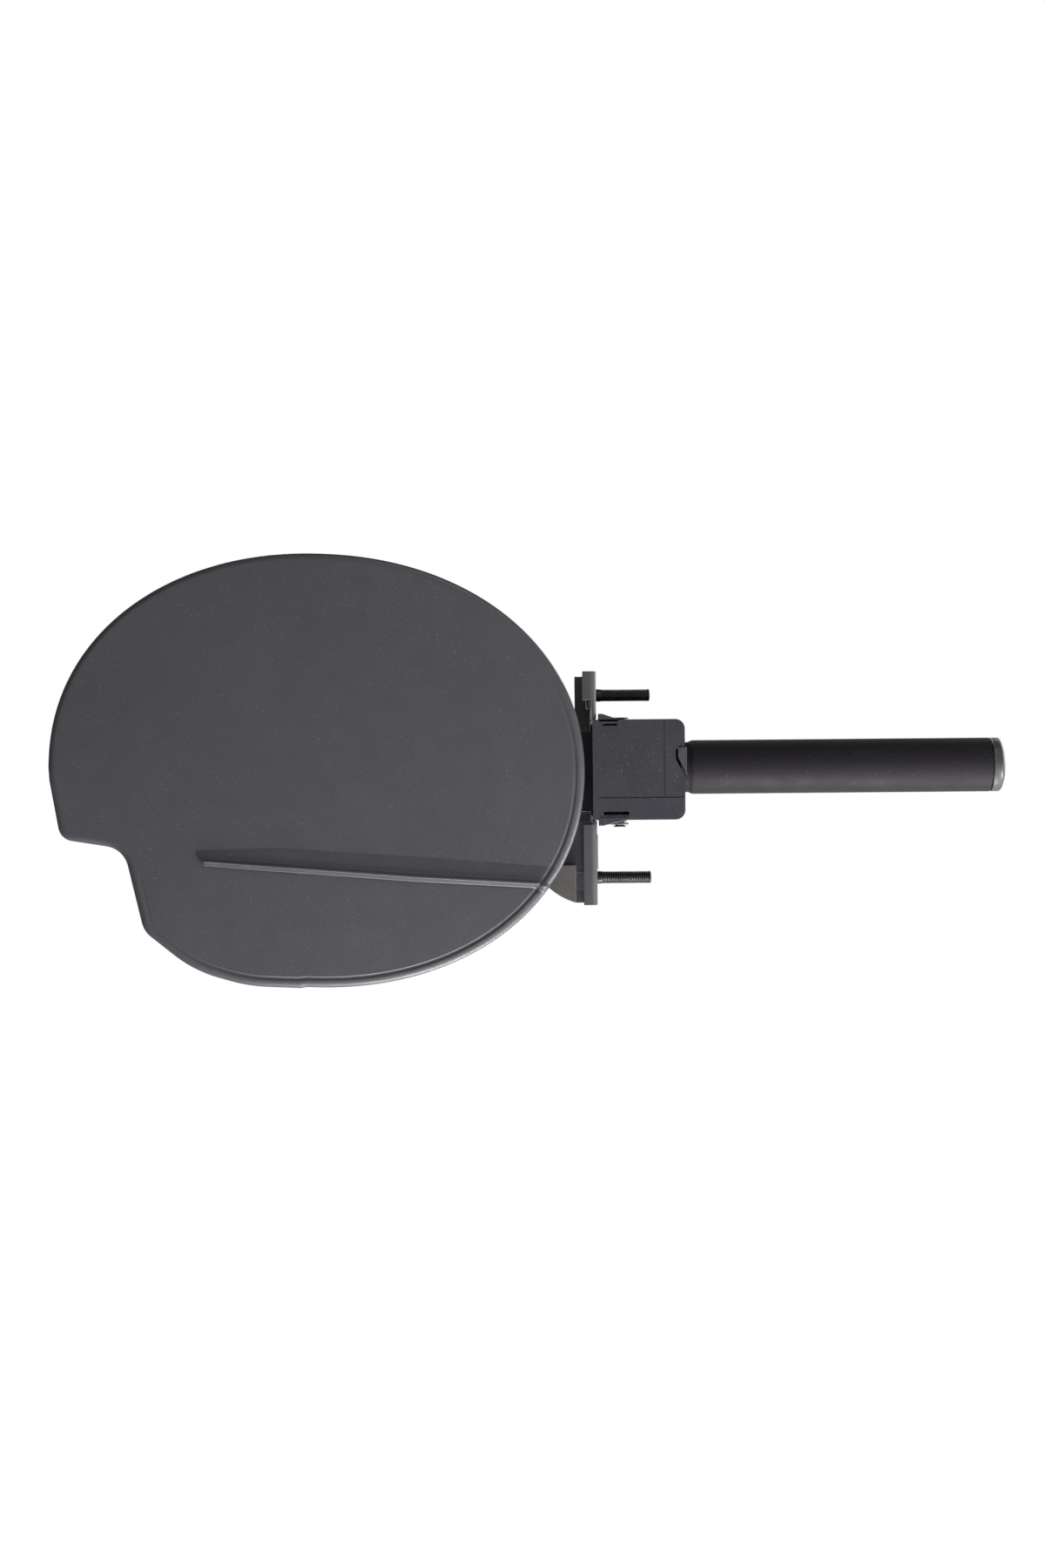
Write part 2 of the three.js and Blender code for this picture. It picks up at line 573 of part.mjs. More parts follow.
add('flap_outer_skin', outerSkin(), flapCoat);
add('flap_inner_panel', innerPanel(), flapCoat);
add('hinge_arm', hingeArm(), hingeCoat);
RIVET.x.forEach((x, i) => RIVET.z.forEach((z, k) => add(`arm_rivet_${2 * i + k + 1}`, rivet(x, z), steel)));
add('buffer_upper', buffer(BUFFER_AT[0]), rubber);
add('buffer_lower', buffer(BUFFER_AT[1]), rubber);

add('mounting_plate', mountingPlate(), hingeCoat);
add('stud_lower', stud(STUD.z[0]), steel);
add('stud_upper', stud(STUD.z[1]), steel);
add('stop_bracket', stopBracket(), hingeCoat);
add('stop_pad', stopPad(), rubber);
add('hinge_housing', hingeHousing(), hingeCoat);
add('bush_upper', bush(HOUSING.top - HOUSING.wall, 1), nylon);
add('bush_lower', bush(HOUSING.bottom + HOUSING.wall, -1), nylon);
add('pivot_pin', pivotPin(), steel);
add('pin_retaining_clip', retainingClip(), steel);
add('spring_tube', springTube(), hingeCoat);
add('tube_end_cap', tubeCap(), hingeCoat);
add('compression_spring', compressionSpring(), steel);

const insideEars = [ARM_BOTTOM + EAR.thick + GAP, ARM_TOP - EAR.thick - GAP];
add('pivot_sleeve', sleeve(PIVOT, PIVOT.boreR, SLEEVE_R, insideEars), steel);
add('link_pin', linkPin(), steel);
add('link_spacer_lower', sleeve(LINK, CRANK.boreR, SPACER_R, [insideEars[0], EYE_BOTTOM - GAP]), steel);
add('link_spacer_upper', sleeve(LINK, CRANK.boreR, SPACER_R, [EYE_TOP + GAP, insideEars[1]]), steel);
add('push_rod', pushRod(), steel);
add('rod_head', rodHead(), nylon);

export default part;
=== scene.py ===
"""Looks for the fuel filler flap and its gooseneck hinge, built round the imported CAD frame.

Shapes are worked out in millimetres in the CAD's own frame (+Z up, the flap's outer skin faces -Y)
and turned into metres when an object is made.
"""

import math

import bmesh
import bpy
import numpy as np
from mathutils import Matrix, Vector


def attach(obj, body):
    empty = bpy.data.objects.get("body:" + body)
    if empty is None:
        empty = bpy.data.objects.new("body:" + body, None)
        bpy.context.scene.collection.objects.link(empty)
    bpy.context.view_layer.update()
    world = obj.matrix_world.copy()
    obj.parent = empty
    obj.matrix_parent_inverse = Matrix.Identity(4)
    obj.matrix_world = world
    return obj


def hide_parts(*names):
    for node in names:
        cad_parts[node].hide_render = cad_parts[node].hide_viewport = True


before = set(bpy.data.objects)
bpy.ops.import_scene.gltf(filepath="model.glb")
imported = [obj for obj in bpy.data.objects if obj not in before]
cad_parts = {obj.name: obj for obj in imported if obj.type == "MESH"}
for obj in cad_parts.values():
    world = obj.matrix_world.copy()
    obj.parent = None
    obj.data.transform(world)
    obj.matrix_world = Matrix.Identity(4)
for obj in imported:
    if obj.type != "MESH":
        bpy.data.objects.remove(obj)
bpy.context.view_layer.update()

MM = 0.001

# ---- driving dimensions, mm ------------------------------------------------------------------
GAP = 0.3                            # clearance between neighbouring pieces
BORE_CLEAR = 0.15                    # clearance round a turning pin
AXIS_R = 0.01                        # radius that stands for a turned piece's own axis
SHARP_ANGLE = 32                     # faces that meet at more than this have a sharp edge, degrees

# the flap
SKIN_Y = -25.5                       # front face of the outer skin
SKIN_T, PANEL_T = 0.9, 0.7
FLAP_X, FLAP_Z = -87.5, 24.7         # flap centre
HALF_WIDTH, HALF_HEIGHT = 83.4, 67.4
POWER = 2.1                          # an ellipse has 2, a squarer oval has more
TILT = math.radians(-3.25)
ROLL_WIDTH, ROLL_DEPTH = 2.0, 1.3    # front roll of the rim, seen from the front and from the side
RIM_SIDE = 0.3                       # straight side between the rim's front and back rolls
RIM_STEPS = 640                      # even steps round the rim, apart from the crease's own
HEM_DEPTH, HEM_WIDTH, HEM_T, HEM_ROUND = 2.9, 4.5, 0.7, 0.3
LINE_INSET, LINE_WIDTH, LINE_DEPTH = 3.6, 1.4, 0.26    # pressed line just inside the lower rim
LINE_ANGLE = math.radians(-60)       # where round the rim that line is deepest

# finger notch corners from the flap's centre: x, z, corner radius
NOTCH = [(-83.1, -2.5, 0), (-79.8, -20.8, 5), (-60.2, -23.9, 8), (-54.1, -49.6, 8), (-38.6, -62.0, 40),
         (-21.7, -66.9, 50), (-4.2, -67.7, 0)]
NOTCH_FROM, NOTCH_TO = 183, 269      # outline angles the notch replaces, degrees

# raised crease: upper foot and ridge lines from the flap's centre
CREASE_TOP = [(-38.1, -24.6), (-12.4, -23.8), (39.3, -27.6), (80, -31.1)]
CREASE_RIDGE = [(-35.3, -27.9), (-14.3, -29.7), (30.1, -33.3), (80, -36.4)]
CREASE_LEFT = CREASE_TOP[0][0]
CREASE_HEIGHT = 1.8                  # of the ridge above the face
CREASE_DROP = 1.6                    # from the ridge down to the lower foot
CREASE_TIP = 3.5                     # length over which the crease rises from its left end
CREASE_STATIONS = 150
# across the crease from its upper foot (0) over the ridge (1) to the lower foot (2) and a slight hollow
# below it, with the height there as a share of the ridge's
CREASE_ACROSS = [(0, 0), (0.05, 0.04), (0.15, 0.10), (0.3, 0.18), (0.5, 0.28), (0.7, 0.39),
                 (0.80, 0.47), (0.86, 0.62), (0.93, 0.90), (0.98, 0.99), (1.06, 1.0), (1.16, 0.94),
                 (1.35, 0.66), (1.55, 0.36), (1.75, 0.08), (1.88, -0.06), (2.05, -0.09), (2.25, 0)]

PAN_INSET, PAN_BACK = 9.0, 5.2       # raised field of the inner panel: its edge, and its back's depth
# the panel's pressed beads: start and end in x and z, width, height
BEADS = [((-150, 20), (-75, 38), 11, 1.6), ((-72, 66), (-120, 62), 9, 1.4),
         ((-118, 6), (-70, -12), 11, 1.6), ((-52, 48), (-34, 42), 8, 1.3), ((-66, -24), (-44, -16), 8, 1.3)]
RIVET_X, RIVET_Z = (-54, -32), (15.8, 31.8)
RIVET_R, RIVET_HEAD_R, RIVET_HEAD_H = 1.9, 3.6, 1.3
BUFFERS = {"buffer_upper": (-148, 44), "buffer_lower": (-104, -14)}
BUFFER_NECK_R, BUFFER_BARB_R, BUFFER_FLANGE_R = 2.6, 3.8, 5.5

# the pivot, and the crank eye on which the push rod turns, in x and y
PIVOT = (7.0, SKIN_Y + 10.8)
CRANK_R, CRANK_ANGLE = 7.5, math.radians(-15)
LINK = (PIVOT[0] + CRANK_R * math.cos(CRANK_ANGLE), PIVOT[1] + CRANK_R * math.sin(CRANK_ANGLE))

# the gooseneck arm; a name that ends in D is a depth behind the skin's front face
ARM_Z, ARM_WIDTH, ARM_T = 23.8, 26, 1.5
ARM_LOW, ARM_HIGH = ARM_Z - ARM_WIDTH / 2, ARM_Z + ARM_WIDTH / 2
ARM_START_D, ARM_DEEP_D = 17.5, 27
ARM_LEG_X = -19                      # leg that comes back to the flap
ARM_FOOT_D, ARM_FOOT_X = 6.35, -62   # foot on the inner panel: its mid-plane and its end
EAR_ROOT_D, PIVOT_EAR_R, LINK_EAR_R = 21, 4.2, 3.0

# the mounting plate; its right-hand side has an embossed land that meets the wall
PLATE_T = 1.5                        # from that land to the web's left face
PLATE_HALF, PLATE_BOTTOM, PLATE_TOP = 21.5, -18.1, 54.9
SEAT_Y, SEAT_Z, SEAT_PROUD = (-18, 18), (-7, 4), 0.3
NEAR_FLANGE, FAR_FLANGE = 4.6, 6.2
ARM_GAP = (7.0, 45.9)                # height over which the near flange is cut away
STUD_R, STUD_END, STUD_Z = 2.0, 17.4, (-10.2, 48.0)
STUD_HEAD_R, STUD_HEAD_T = 4.5, 1.2
THREAD_PITCH, THREAD_SHARE = 0.7, 0.26    # the groove's depth is that share of the pitch
THREAD_START, THREAD_END = 1.2, STUD_END - 0.2

# the stop: a bracket's tab with a foot on the plate, and a pad; tab and pad have the same round lower edge
STOP_CENTRE, STOP_R = (-0.5, 4.2), 22.5
TAB_X, TAB_D, TAB_Z = (-15.0, -1.8), (6.6, 8.1), (-17.4, 8.0)
TAB_SLOT_X, TAB_SLOT_Z = (-6.9, -4.2), (-13.5, -8.0)
FOOT_X, FOOT_D, FOOT_Z = (-3.3, -1.8), (7.4, 20), (-17.4, -5.4)
PAD_X, PAD_D, PAD_Z = (-18.4, -7.0), (3.3, 6.3), (-19, -5.4)

# the hinge housing, a box that is open to the left
BOX_X, BOX_Y, BOX_Z = (-PLATE_T, 27.3), (-21.3, 8.0), (8.4, 39.8)
BOX_WALL, BOX_CORNER = 1.2, 3.0
BOX_FOLD_X, BOX_STEP_Z = 20.8, 15.2  # pressed fold and step lines on the near wall
# the plate's mouth round the housing
MOUTH_Y, MOUTH_Z = (BOX_Y[0] - GAP / 2, BOX_Y[1] + GAP), (BOX_Z[0] - GAP, BOX_Z[1] + GAP)
WALL_SLOTS = [((1.8, 9.7), (9.9, 11.0)), ((1.6, 6.2), (37.8, 38.5))]    # x and z, one beside each lug
TUBE_MOUTH_R = 8.2                   # hole in the right-hand wall for the tube's neck
# angular notch in the near wall, and the tongue behind it, which leaves a narrow slanting gap
WALL_NOTCH = [(30, 31.5), (25.6, 31.5), (24.4, 30), (24.4, 27.4), (27.3, 21.5), (30, 21.5)]
TONGUE = [(25.1, 31.1), (27.9, 31.1), (27.9, 22.2), (25.1, 27.8)]
LUG_REACH, LUG_FLAT, LUG_WIDTH = 1.8, 1.2, 3.4
LOWER_LUG_END, UPPER_LUG_END = 9.7, 6.8

# the pivot pin with its bushes and clip, and the link pin
BUSH_R, BUSH_FLANGE_R = 3.0, 4.4
PIN_R, PIN_GROOVE_R = 2.0, 1.4
PIN_HEAD_R, PIN_HEAD_T = 3.0, 0.4
PIN_TOP, PIN_BOTTOM = BOX_Z[1] + GAP, BOX_Z[0] - 2.2
CLIP_R, CLIP_BORE, CLIP_Z = 3.0, 1.55, (PIN_BOTTOM + 0.7, PIN_BOTTOM + 1.3)
LINK_PIN_R, LINK_TOP = 1.5, ARM_HIGH + GAP
LINK_HEAD_R, LINK_HEAD_T = 2.4, 0.6
PIVOT_BORE, LINK_BORE = PIN_R + BORE_CLEAR, LINK_PIN_R + BORE_CLEAR
EDGE_BREAK = 0.15                    # on the ends of a sleeve

# the spring tube and what is in it
TUBE_Y, TUBE_Z = -10, 24.8
TUBE_AT = (TUBE_Y, TUBE_Z)
TUBE_R, TUBE_BORE, TUBE_END = 8.5, 7.5, 124.1
NECK_R, NECK_BORE, NECK_START = 7.9, 6.9, 24.0
CAP_PLUG_R, CAP_START, CAP_RIM, CAP_END = 7.2, 119.8, 127.2, 128.9
SPRING = {"start": 51.5, "end": 119.2, "r": 5.9, "wire": 0.85, "coils": 9}
ROD_LENGTH, ROD_R = 30, 2.0
ROD_ANGLE = math.asin((TUBE_Y - LINK[1]) / ROD_LENGTH)
EYE_R, EYE_HALF = 3.1, 2.5
EYE_LOW, EYE_HIGH = TUBE_Z - EYE_HALF, TUBE_Z + EYE_HALF
HEAD_R, SOCKET_R, SOCKET_DEPTH = 6.3, 2.3, 1.5

# the floor and the camera
FLOOR_Z = -420
CAMERA_AT = (-23.5, SKIN_Y - 811, 19.9)
CAMERA_ROLL = math.radians(0.5)
LENS, SENSOR = 60, 36


def depth(d):
    """y of a point d behind the outer skin's front face."""
    return SKIN_Y + d


def depths(span):
    return depth(span[0]), depth(span[1])


# ---- materials -------------------------------------------------------------------------------
def linear(srgb):
    """sRGB values out of 255 as a linear colour."""

    def channel(c):
        c /= 255
        return c / 12.92 if c <= 0.04045 else ((c + 0.055) / 1.055) ** 2.4
    return (*[channel(c) for c in srgb], 1.0)


class Nodes:
    """A material's node tree with short ways to add and join nodes."""

    def __init__(self, name):
        self.material = bpy.data.materials.new(name)
        self.material.use_nodes = True
        self.tree = self.material.node_tree
        self.shader = self.tree.nodes["Principled BSDF"]
        self.place = self.add("ShaderNodeTexCoord").outputs["Object"]

    def add(self, kind, **settings):
        node = self.tree.nodes.new(kind)
        for key, value in settings.items():
            setattr(node, key, value)
        return node

    def join(self, output, target):
        self.tree.links.new(output, target)

    def noise(self, scale, detail=3.0):
        """Noise from 0 to 1 with that many cells per metre."""
        texture = self.add("ShaderNodeTexNoise")
        texture.inputs["Scale"].default_value = scale
        texture.inputs["Detail"].default_value = detail
        self.join(self.place, texture.inputs["Vector"])
        return texture.outputs["Fac"]

    def spread(self, value, low, high, start=0.3, end=0.7):
        """The value's range from start to end spread over low to high."""
        node = self.add("ShaderNodeMapRange")
        node.inputs["From Min"].default_value = start
        node.inputs["From Max"].default_value = end
        node.inputs["To Min"].default_value = low
        node.inputs["To Max"].default_value = high
        self.join(value, node.inputs["Value"])
        return node.outputs["Result"]

    def mix(self, factor, first, second):
        """Two colours mixed; each is a colour or an output."""
        node = self.add("ShaderNodeMix", data_type="RGBA")
        self.join(factor, node.inputs["Factor"])
        for socket, colour in ((node.inputs["A"], first), (node.inputs["B"], second)):
            if isinstance(colour, tuple):
                socket.default_value = colour
            else:
                self.join(colour, socket)
        return node.outputs["Result"]

    def bump(self, heights):
        """Bumps in a chain: pairs of a height output and its distance in mm."""
        normal = None
        for height, distance in heights:
            node = self.add("ShaderNodeBump")
            node.inputs["Distance"].default_value = distance * MM
            node.inputs["Strength"].default_value = 1.0
            self.join(height, node.inputs["Height"])
            if normal:
                self.join(normal, node.inputs["Normal"])
            normal = node.outputs["Normal"]
        self.join(normal, self.shader.inputs["Normal"])


def coated_steel(name, colour, dusty, rough, peel, gloss=0.5):
    """Satin black coat over pressed steel: faint mottling, dust specks and orange peel."""
    n = Nodes(name)
    cloud = n.spread(n.noise(28), 0, 1)
    base = n.mix(cloud, linear(colour), linear([c * 1.07 for c in colour]))
    specks = n.spread(n.noise(2600, 1), 0, 0.55, 0.70, 0.78)
    base = n.mix(specks, base, linear(dusty))
    n.join(base, n.shader.inputs["Base Color"])
    n.join(n.spread(n.noise(160), rough - 0.05, rough + 0.06), n.shader.inputs["Roughness"])
    n.bump([(n.noise(900, 2), peel), (n.noise(120, 2), peel * 2)])
    n.shader.inputs["Metallic"].default_value = 0.0
    n.shader.inputs["Specular IOR Level"].default_value = gloss
    return n.material


def plated_steel(name, colour, rough):
    """Zinc-plated or oiled steel with a fine grain and stains."""
    n = Nodes(name)
    stain = n.spread(n.noise(220), 0, 1)
    base = n.mix(stain, linear(colour), linear([c * 0.72 for c in colour]))
    n.join(base, n.shader.inputs["Base Color"])
    n.join(n.spread(n.noise(500), rough - 0.08, rough + 0.1), n.shader.inputs["Roughness"])
    n.bump([(n.noise(3000, 2), 0.006)])
    n.shader.inputs["Metallic"].default_value = 0.85
    return n.material


def moulded(name, colour, rough, grain):
    """Rubber or nylon with a fine grain and a little bloom."""
    n = Nodes(name)
    bloom = n.spread(n.noise(300), 0, 1)
    base = n.mix(bloom, linear(colour), linear([min(255, c * 1.15) for c in colour]))
    n.join(base, n.shader.inputs["Base Color"])
    n.join(n.spread(n.noise(700), rough - 0.06, rough + 0.05), n.shader.inputs["Roughness"])
    n.bump([(n.noise(1800, 3), grain)])
    return n.material


FLAP_COAT = coated_steel("flap_coat", (41, 40, 44), (110, 108, 110), 0.46, 0.004)
HINGE_COAT = coated_steel("hinge_coat", (20, 19, 27), (120, 118, 120), 0.42, 0.006)
TUBE_COAT = coated_steel("tube_coat", (25, 23, 26), (90, 88, 90), 0.6, 0.006, gloss=0.1)
# Painted light: a lighter copy of the black hinge coat, standing in for the light on the plate, its seat,
# the tongue and the cap.
LIT_HINGE_COAT = coated_steel("hinge_coat_painted_lit", (37, 37, 40), (140, 138, 138), 0.42, 0.008)
STEEL = plated_steel("bare_steel", (120, 119, 118), 0.36)
DARK_STEEL = plated_steel("dark_steel", (46, 45, 46), 0.4)
NYLON = moulded("nylon", (34, 34, 36), 0.55, 0.01)
RUBBER = moulded("rubber", (41, 38, 37), 0.8, 0.02)
BLACK_RUBBER = moulded("black_rubber", (36, 35, 35), 0.72, 0.02)


# ---- making objects --------------------------------------------------------------------------
def finish_mesh(mesh, sharp_angle):
    """Outward normals, smooth faces, and sharp edges where faces meet at more than an angle."""
    work = bmesh.new()
    work.from_mesh(mesh)
    bmesh.ops.remove_doubles(work, verts=work.verts, dist=1e-7)
    bmesh.ops.recalc_face_normals(work, faces=work.faces)
    work.to_mesh(mesh)
    work.free()
    mesh.polygons.foreach_set("use_smooth", [True] * len(mesh.polygons))
    mesh.set_sharp_from_angle(angle=math.radians(sharp_angle))


def make(name, shapes, material, sharp=SHARP_ANGLE, bevel=0.0):
    """One object from several (vertices in mm, faces) shapes."""
    vertices, faces = [], []
    for points, polygons in shapes:
        faces += [[i + len(vertices) for i in polygon] for polygon in polygons]
        vertices += [[c * MM for c in point] for point in points]
    mesh = bpy.data.meshes.new(name)
    mesh.from_pydata(vertices, [], faces)
    finish_mesh(mesh, sharp)
    mesh.materials.append(material)
    obj = bpy.data.objects.new(name, mesh)
    bpy.context.scene.collection.objects.link(obj)
    if bevel:
        add_bevel(obj, bevel)
    return obj


def add_bevel(obj, width):
    bevel = obj.modifiers.new("rounded_edges", "BEVEL")
    bevel.width = width * MM
    bevel.segments = 2
    bevel.limit_method = "ANGLE"
    bevel.angle_limit = math.radians(38)
    bevel.use_clamp_overlap = True
    bevel.harden_normals = True


def cut(obj, cutters):
    """Takes shapes out of an object."""
    for k, shape in enumerate(cutters):
        cutter = make(f"cutter_{k}", [shape], STEEL)
        boolean = obj.modifiers.new("cut", "BOOLEAN")
        boolean.operation = "DIFFERENCE"
        boolean.solver = "EXACT"
        boolean.object = cutter
        graph = bpy.context.evaluated_depsgraph_get()
        mesh = bpy.data.meshes.new_from_object(obj.evaluated_get(graph))
        obj.modifiers.clear()
        obj.data = mesh
        bpy.data.objects.remove(cutter)
    finish_mesh(obj.data, SHARP_ANGLE)
    return obj


def settle(obj, body, slot, *nodes):
    """The object moves with a body and stands for its CAD nodes."""
    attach(obj, body)
    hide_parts(*nodes)


# ---- shapes: each returns vertices in mm and faces --------------------------------------------
def lofted(rings, closed=False, caps=True):
    """Rings of equally many points joined in turn."""
    count = len(rings[0])
    points = [tuple(point) for ring in rings for point in ring]
    pairs = len(rings) if closed else len(rings) - 1
    faces = []
    for k in range(pairs):
        a, b = k * count, ((k + 1) % len(rings)) * count
        faces += [[a + i, a + (i + 1) % count, b + (i + 1) % count, b + i] for i in range(count)]
    if caps and not closed:
        faces.append(list(range(count)))
        faces.append(list(range((len(rings) - 1) * count, len(rings) * count)))
    return points, faces


def placed(axis, at, r, h, angle):
    """A point at radius r, height h and angle about an axis through at."""
    a, b = r * math.cos(angle), r * math.sin(angle)
    if axis == "x":
        return (h, at[0] + a, at[1] + b)
    if axis == "y":
        return (at[0] + a, h, at[1] + b)
    return (at[0] + a, at[1] + b, h)


def turned(profile, axis, at, steps=56, closed=False):
    """A turned piece: the profile is (radius, height) pairs, capped at its ends unless closed."""
    angles = [2 * math.pi * k / steps for k in range(steps)]
    rings = [[placed(axis, at, r, h, a) for a in angles] for r, h in profile]
    return lofted(rings, closed)


def prism(outline, plane, start, end):
    """An outline in the xz, xy or yz plane, extruded along the third axis."""
    def point(a, b, c):
        return {"xz": (a, c, b), "xy": (a, b, c), "yz": (c, a, b)}[plane]
    return lofted([[point(a, b, c) for a, b in outline] for c in (start, end)])


def block(x, y, z):
    """A box over a span of x, of y and of z."""
    return prism([(x[0], z[0]), (x[1], z[0]), (x[1], z[1]), (x[0], z[1])], "xz", *y)


def rounded(corners, steps=8):
    """A run of corners (x, z, radius), each rounded; the two ends stay sharp."""
    points = []
    for i, (x, z, r) in enumerate(corners):
        here = Vector((x, z))
        if i in (0, len(corners) - 1) or r == 0:
            points.append(here)
            continue
        back = (Vector(corners[i - 1][:2]) - here).normalized()
        on = (Vector(corners[i + 1][:2]) - here).normalized()
        half = math.acos(max(-1, min(1, back.dot(on)))) / 2
        centre = here + (back + on).normalized() * (r / math.sin(half))
        start = here + back * (r / math.tan(half)) - centre
        end = here + on * (r / math.tan(half)) - centre
        sweep = start.angle_signed(end)
        first = math.atan2(start.y, start.x)
        for k in range(steps + 1):
            angle = first - sweep * k / steps
            points.append(centre + Vector((math.cos(angle), math.sin(angle))) * r)
    return points


def offset(points, distance, closed=False):
    """Each point moved to the left of the run by a distance."""
    moved = []
    last = len(points) - 1
    for i, point in enumerate(points):
        before = points[i - 1] if i or closed else point
        after = points[(i + 1) % len(points)] if i < last or closed else point
        along = (after - before).normalized()
        moved.append(Vector((point.x - along.y * distance, point.y + along.x * distance)))
    return moved


def strip(corners, thickness, start, end):
    """Sheet metal folded along a run of (x, y, bend radius) and extruded along z."""
    run = rounded(corners)
    outline = offset(run, -thickness / 2) + offset(run, thickness / 2)[::-1]
    return prism([tuple(p) for p in outline], "xy", start, end)


def circle(centre, r, steps=32):
    """Points round a circle in a plane."""
    angles = [2 * math.pi * k / steps for k in range(steps)]
    return [(centre[0] + r * math.cos(a), centre[1] + r * math.sin(a)) for a in angles]


def hull(points):
    """Convex outline round points in a plane, counter-clockwise."""
    points = sorted(set(points))
    halves = []
    for run in (points, points[::-1]):
        half = []
        for p in run:
            while len(half) > 1 and ((half[-1][0] - half[-2][0]) * (p[1] - half[-2][1])
                                     <= (half[-1][1] - half[-2][1]) * (p[0] - half[-2][0])):
                half.pop()
            half.append(p)
        halves += half[:-1]
    return halves


def bead(start, end, width, height, y):
    """A soft pressed bead standing out of a wall at y, from start to end in x and z.

    Its foot is slightly inside the wall, and its two ends keep a little width.
    """
    a, b = Vector(start), Vector(end)
    along = (b - a).normalized()
    side = Vector((-along.y, along.x))
    length = (b - a).length
    stations, across = 40, 14
    points = []
    for k in range(stations + 1):
        s = length * k / stations
        end_room = min(s, length - s, width / 2) / (width / 2)
        half = width / 2 * math.sqrt(max(0.0, 1 - (1 - end_room) ** 2)) + 0.01
        for i in range(across + 1):
            t = -1 + 2 * i / across
            rise = height * (0.5 + 0.5 * math.cos(math.pi * t)) * half / (width / 2)
            p = a + along * s + side * t * half
            points.append((p.x, y + rise - 0.02, p.y))
    n = across + 1
    faces = [[k * n + i, k * n + i + 1, (k + 1) * n + i + 1, (k + 1) * n + i]
             for k in range(stations) for i in range(across)]
    return points, faces


# ---- the flap --------------------------------------------------------------------------------
def flap_outline():
    """Oval outline with its finger notch, about the flap's centre, counter-clockwise from the front."""
    across, up = math.cos(TILT), math.sin(TILT)
    points = []
    steps = 420
    for k in range(1, steps):
        angle = math.radians(NOTCH_TO - 360 + (360 - NOTCH_TO + NOTCH_FROM) * k / steps)
        c, s = math.cos(angle), math.sin(angle)
        x = HALF_WIDTH * math.copysign(abs(c) ** (2 / POWER), c)
        z = HALF_HEIGHT * math.copysign(abs(s) ** (2 / POWER), s)
        points.append(Vector((x * across - z * up, x * up + z * across)))
    return points + rounded(NOTCH, steps=24)


def dense(points, spacing=0.6):
    """A closed run with points added on its long sides."""
    out = []
    for i, p in enumerate(points):
        q = points[(i + 1) % len(points)]
        n = max(1, int((q - p).length / spacing))
        out += [p.lerp(q, k / n) for k in range(n)]
    return out


OUTLINE = dense(flap_outline())
OUTLINE_XZ = np.array([tuple(p) for p in OUTLINE])


def polar(inset):
    """Angles and radii of the outline drawn in by a distance.

    Points that fold over end up too near the outline, and are left out.
    """
    moved = offset(OUTLINE, inset, closed=True) if inset > 0 else OUTLINE
    kept = []
    for p in moved:
        if np.hypot(*(OUTLINE_XZ - np.array(tuple(p))).T).min() > inset - 0.05:
            kept.append(p)
    angles = np.array([math.atan2(p.y, p.x) for p in kept])
    radii = np.array([p.length for p in kept])
    order = np.argsort(angles)
    return angles[order], radii[order]


POLAR = {}


def radius_at(inset, angle):
    """Distance from the flap's centre to the outline drawn in by inset."""
    key = round(inset, 3)
    if key not in POLAR:
        POLAR[key] = polar(inset)
    angles, radii = POLAR[key]
    return float(np.interp(angle, angles, radii, period=2 * math.pi))


def on_line(line, x):
    """z at x of a line given by its (x, z) points."""
    xs, zs = zip(*line)
    return float(np.interp(x, xs, zs))


def smooth(t):
    """0 to 1 as t goes from 0 to 1, level at both ends."""
    t = max(0.0, min(1.0, t))
    return t * t * (3 - 2 * t)


def crease_point(x, t):
    """z on the flap of the crease's line t at x; at the tip the ridge comes up to the upper foot."""
    top = on_line(CREASE_TOP, x)
    tip = min(1.0, max(0.0, (x - CREASE_LEFT) / (CREASE_RIDGE[0][0] - CREASE_LEFT)))
    ridge = top + (on_line(CREASE_RIDGE, max(x, CREASE_RIDGE[0][0])) - top) * max(0.05, tip)
    if t <= 1:
        return top + (ridge - top) * t
    return ridge - CREASE_DROP * (t - 1)


def crease_height(x, share):
    """Height above the face at x of the crease's line that has that share of the ridge's."""
    return CREASE_HEIGHT * share * smooth((x - CREASE_LEFT) / CREASE_TIP)


def crease_end(t):
    """x at which the crease's line t reaches the front face's rim, by halving a span that holds it."""
    low, high = 40.0, 83.0
    for _ in range(40):
        x = (low + high) / 2
        z = crease_point(x, t)
        inside = math.hypot(x, z) < radius_at(LINE_INSET, math.atan2(z, x))
        low, high = (x, high) if inside else (low, x)
    return low


CREASE_ENDS = {t: crease_end(t) for t, _ in CREASE_ACROSS}


def rim_angles():
    """Angles of the points round a ring: the crease's own where it meets the rim, then even ones."""
    ends = [math.atan2(crease_point(x, t), x) for t, x in CREASE_ENDS.items()]
    top, bottom = ends[0], ends[-1]
    even = [top + (2 * math.pi - (top - bottom)) * k / RIM_STEPS for k in range(1, RIM_STEPS)]
    return ends[::-1] + even


ANGLES = rim_angles()
# the crease's height at each of those angles
LIFTS = [share * CREASE_HEIGHT for _, share in CREASE_ACROSS[::-1]] + [0.0] * (RIM_STEPS - 1)


def ring(inset, d, lift=0.0):
    """The outline drawn in by inset at a depth, raised over the crease by a share of its height."""
    points = []
    for angle, height in zip(ANGLES, LIFTS):
        r = radius_at(inset, angle)
        x, z = FLAP_X + r * math.cos(angle), FLAP_Z + r * math.sin(angle)
        points.append((x, depth(d - lift * height), z))
    return points


def pressed_line():
    """Rings across the shallow line pressed just inside the rim."""
    steps = 6
    rings = []
    for k in range(steps + 1):
        sunk = LINE_DEPTH * math.sin(math.pi * k / steps)
        flat = ring(LINE_INSET - LINE_WIDTH * k / steps, 0, 1.0)
        rings.append([(x, y + sunk * line_share(angle), z) for (x, y, z), angle in zip(flat, ANGLES)])
    return rings


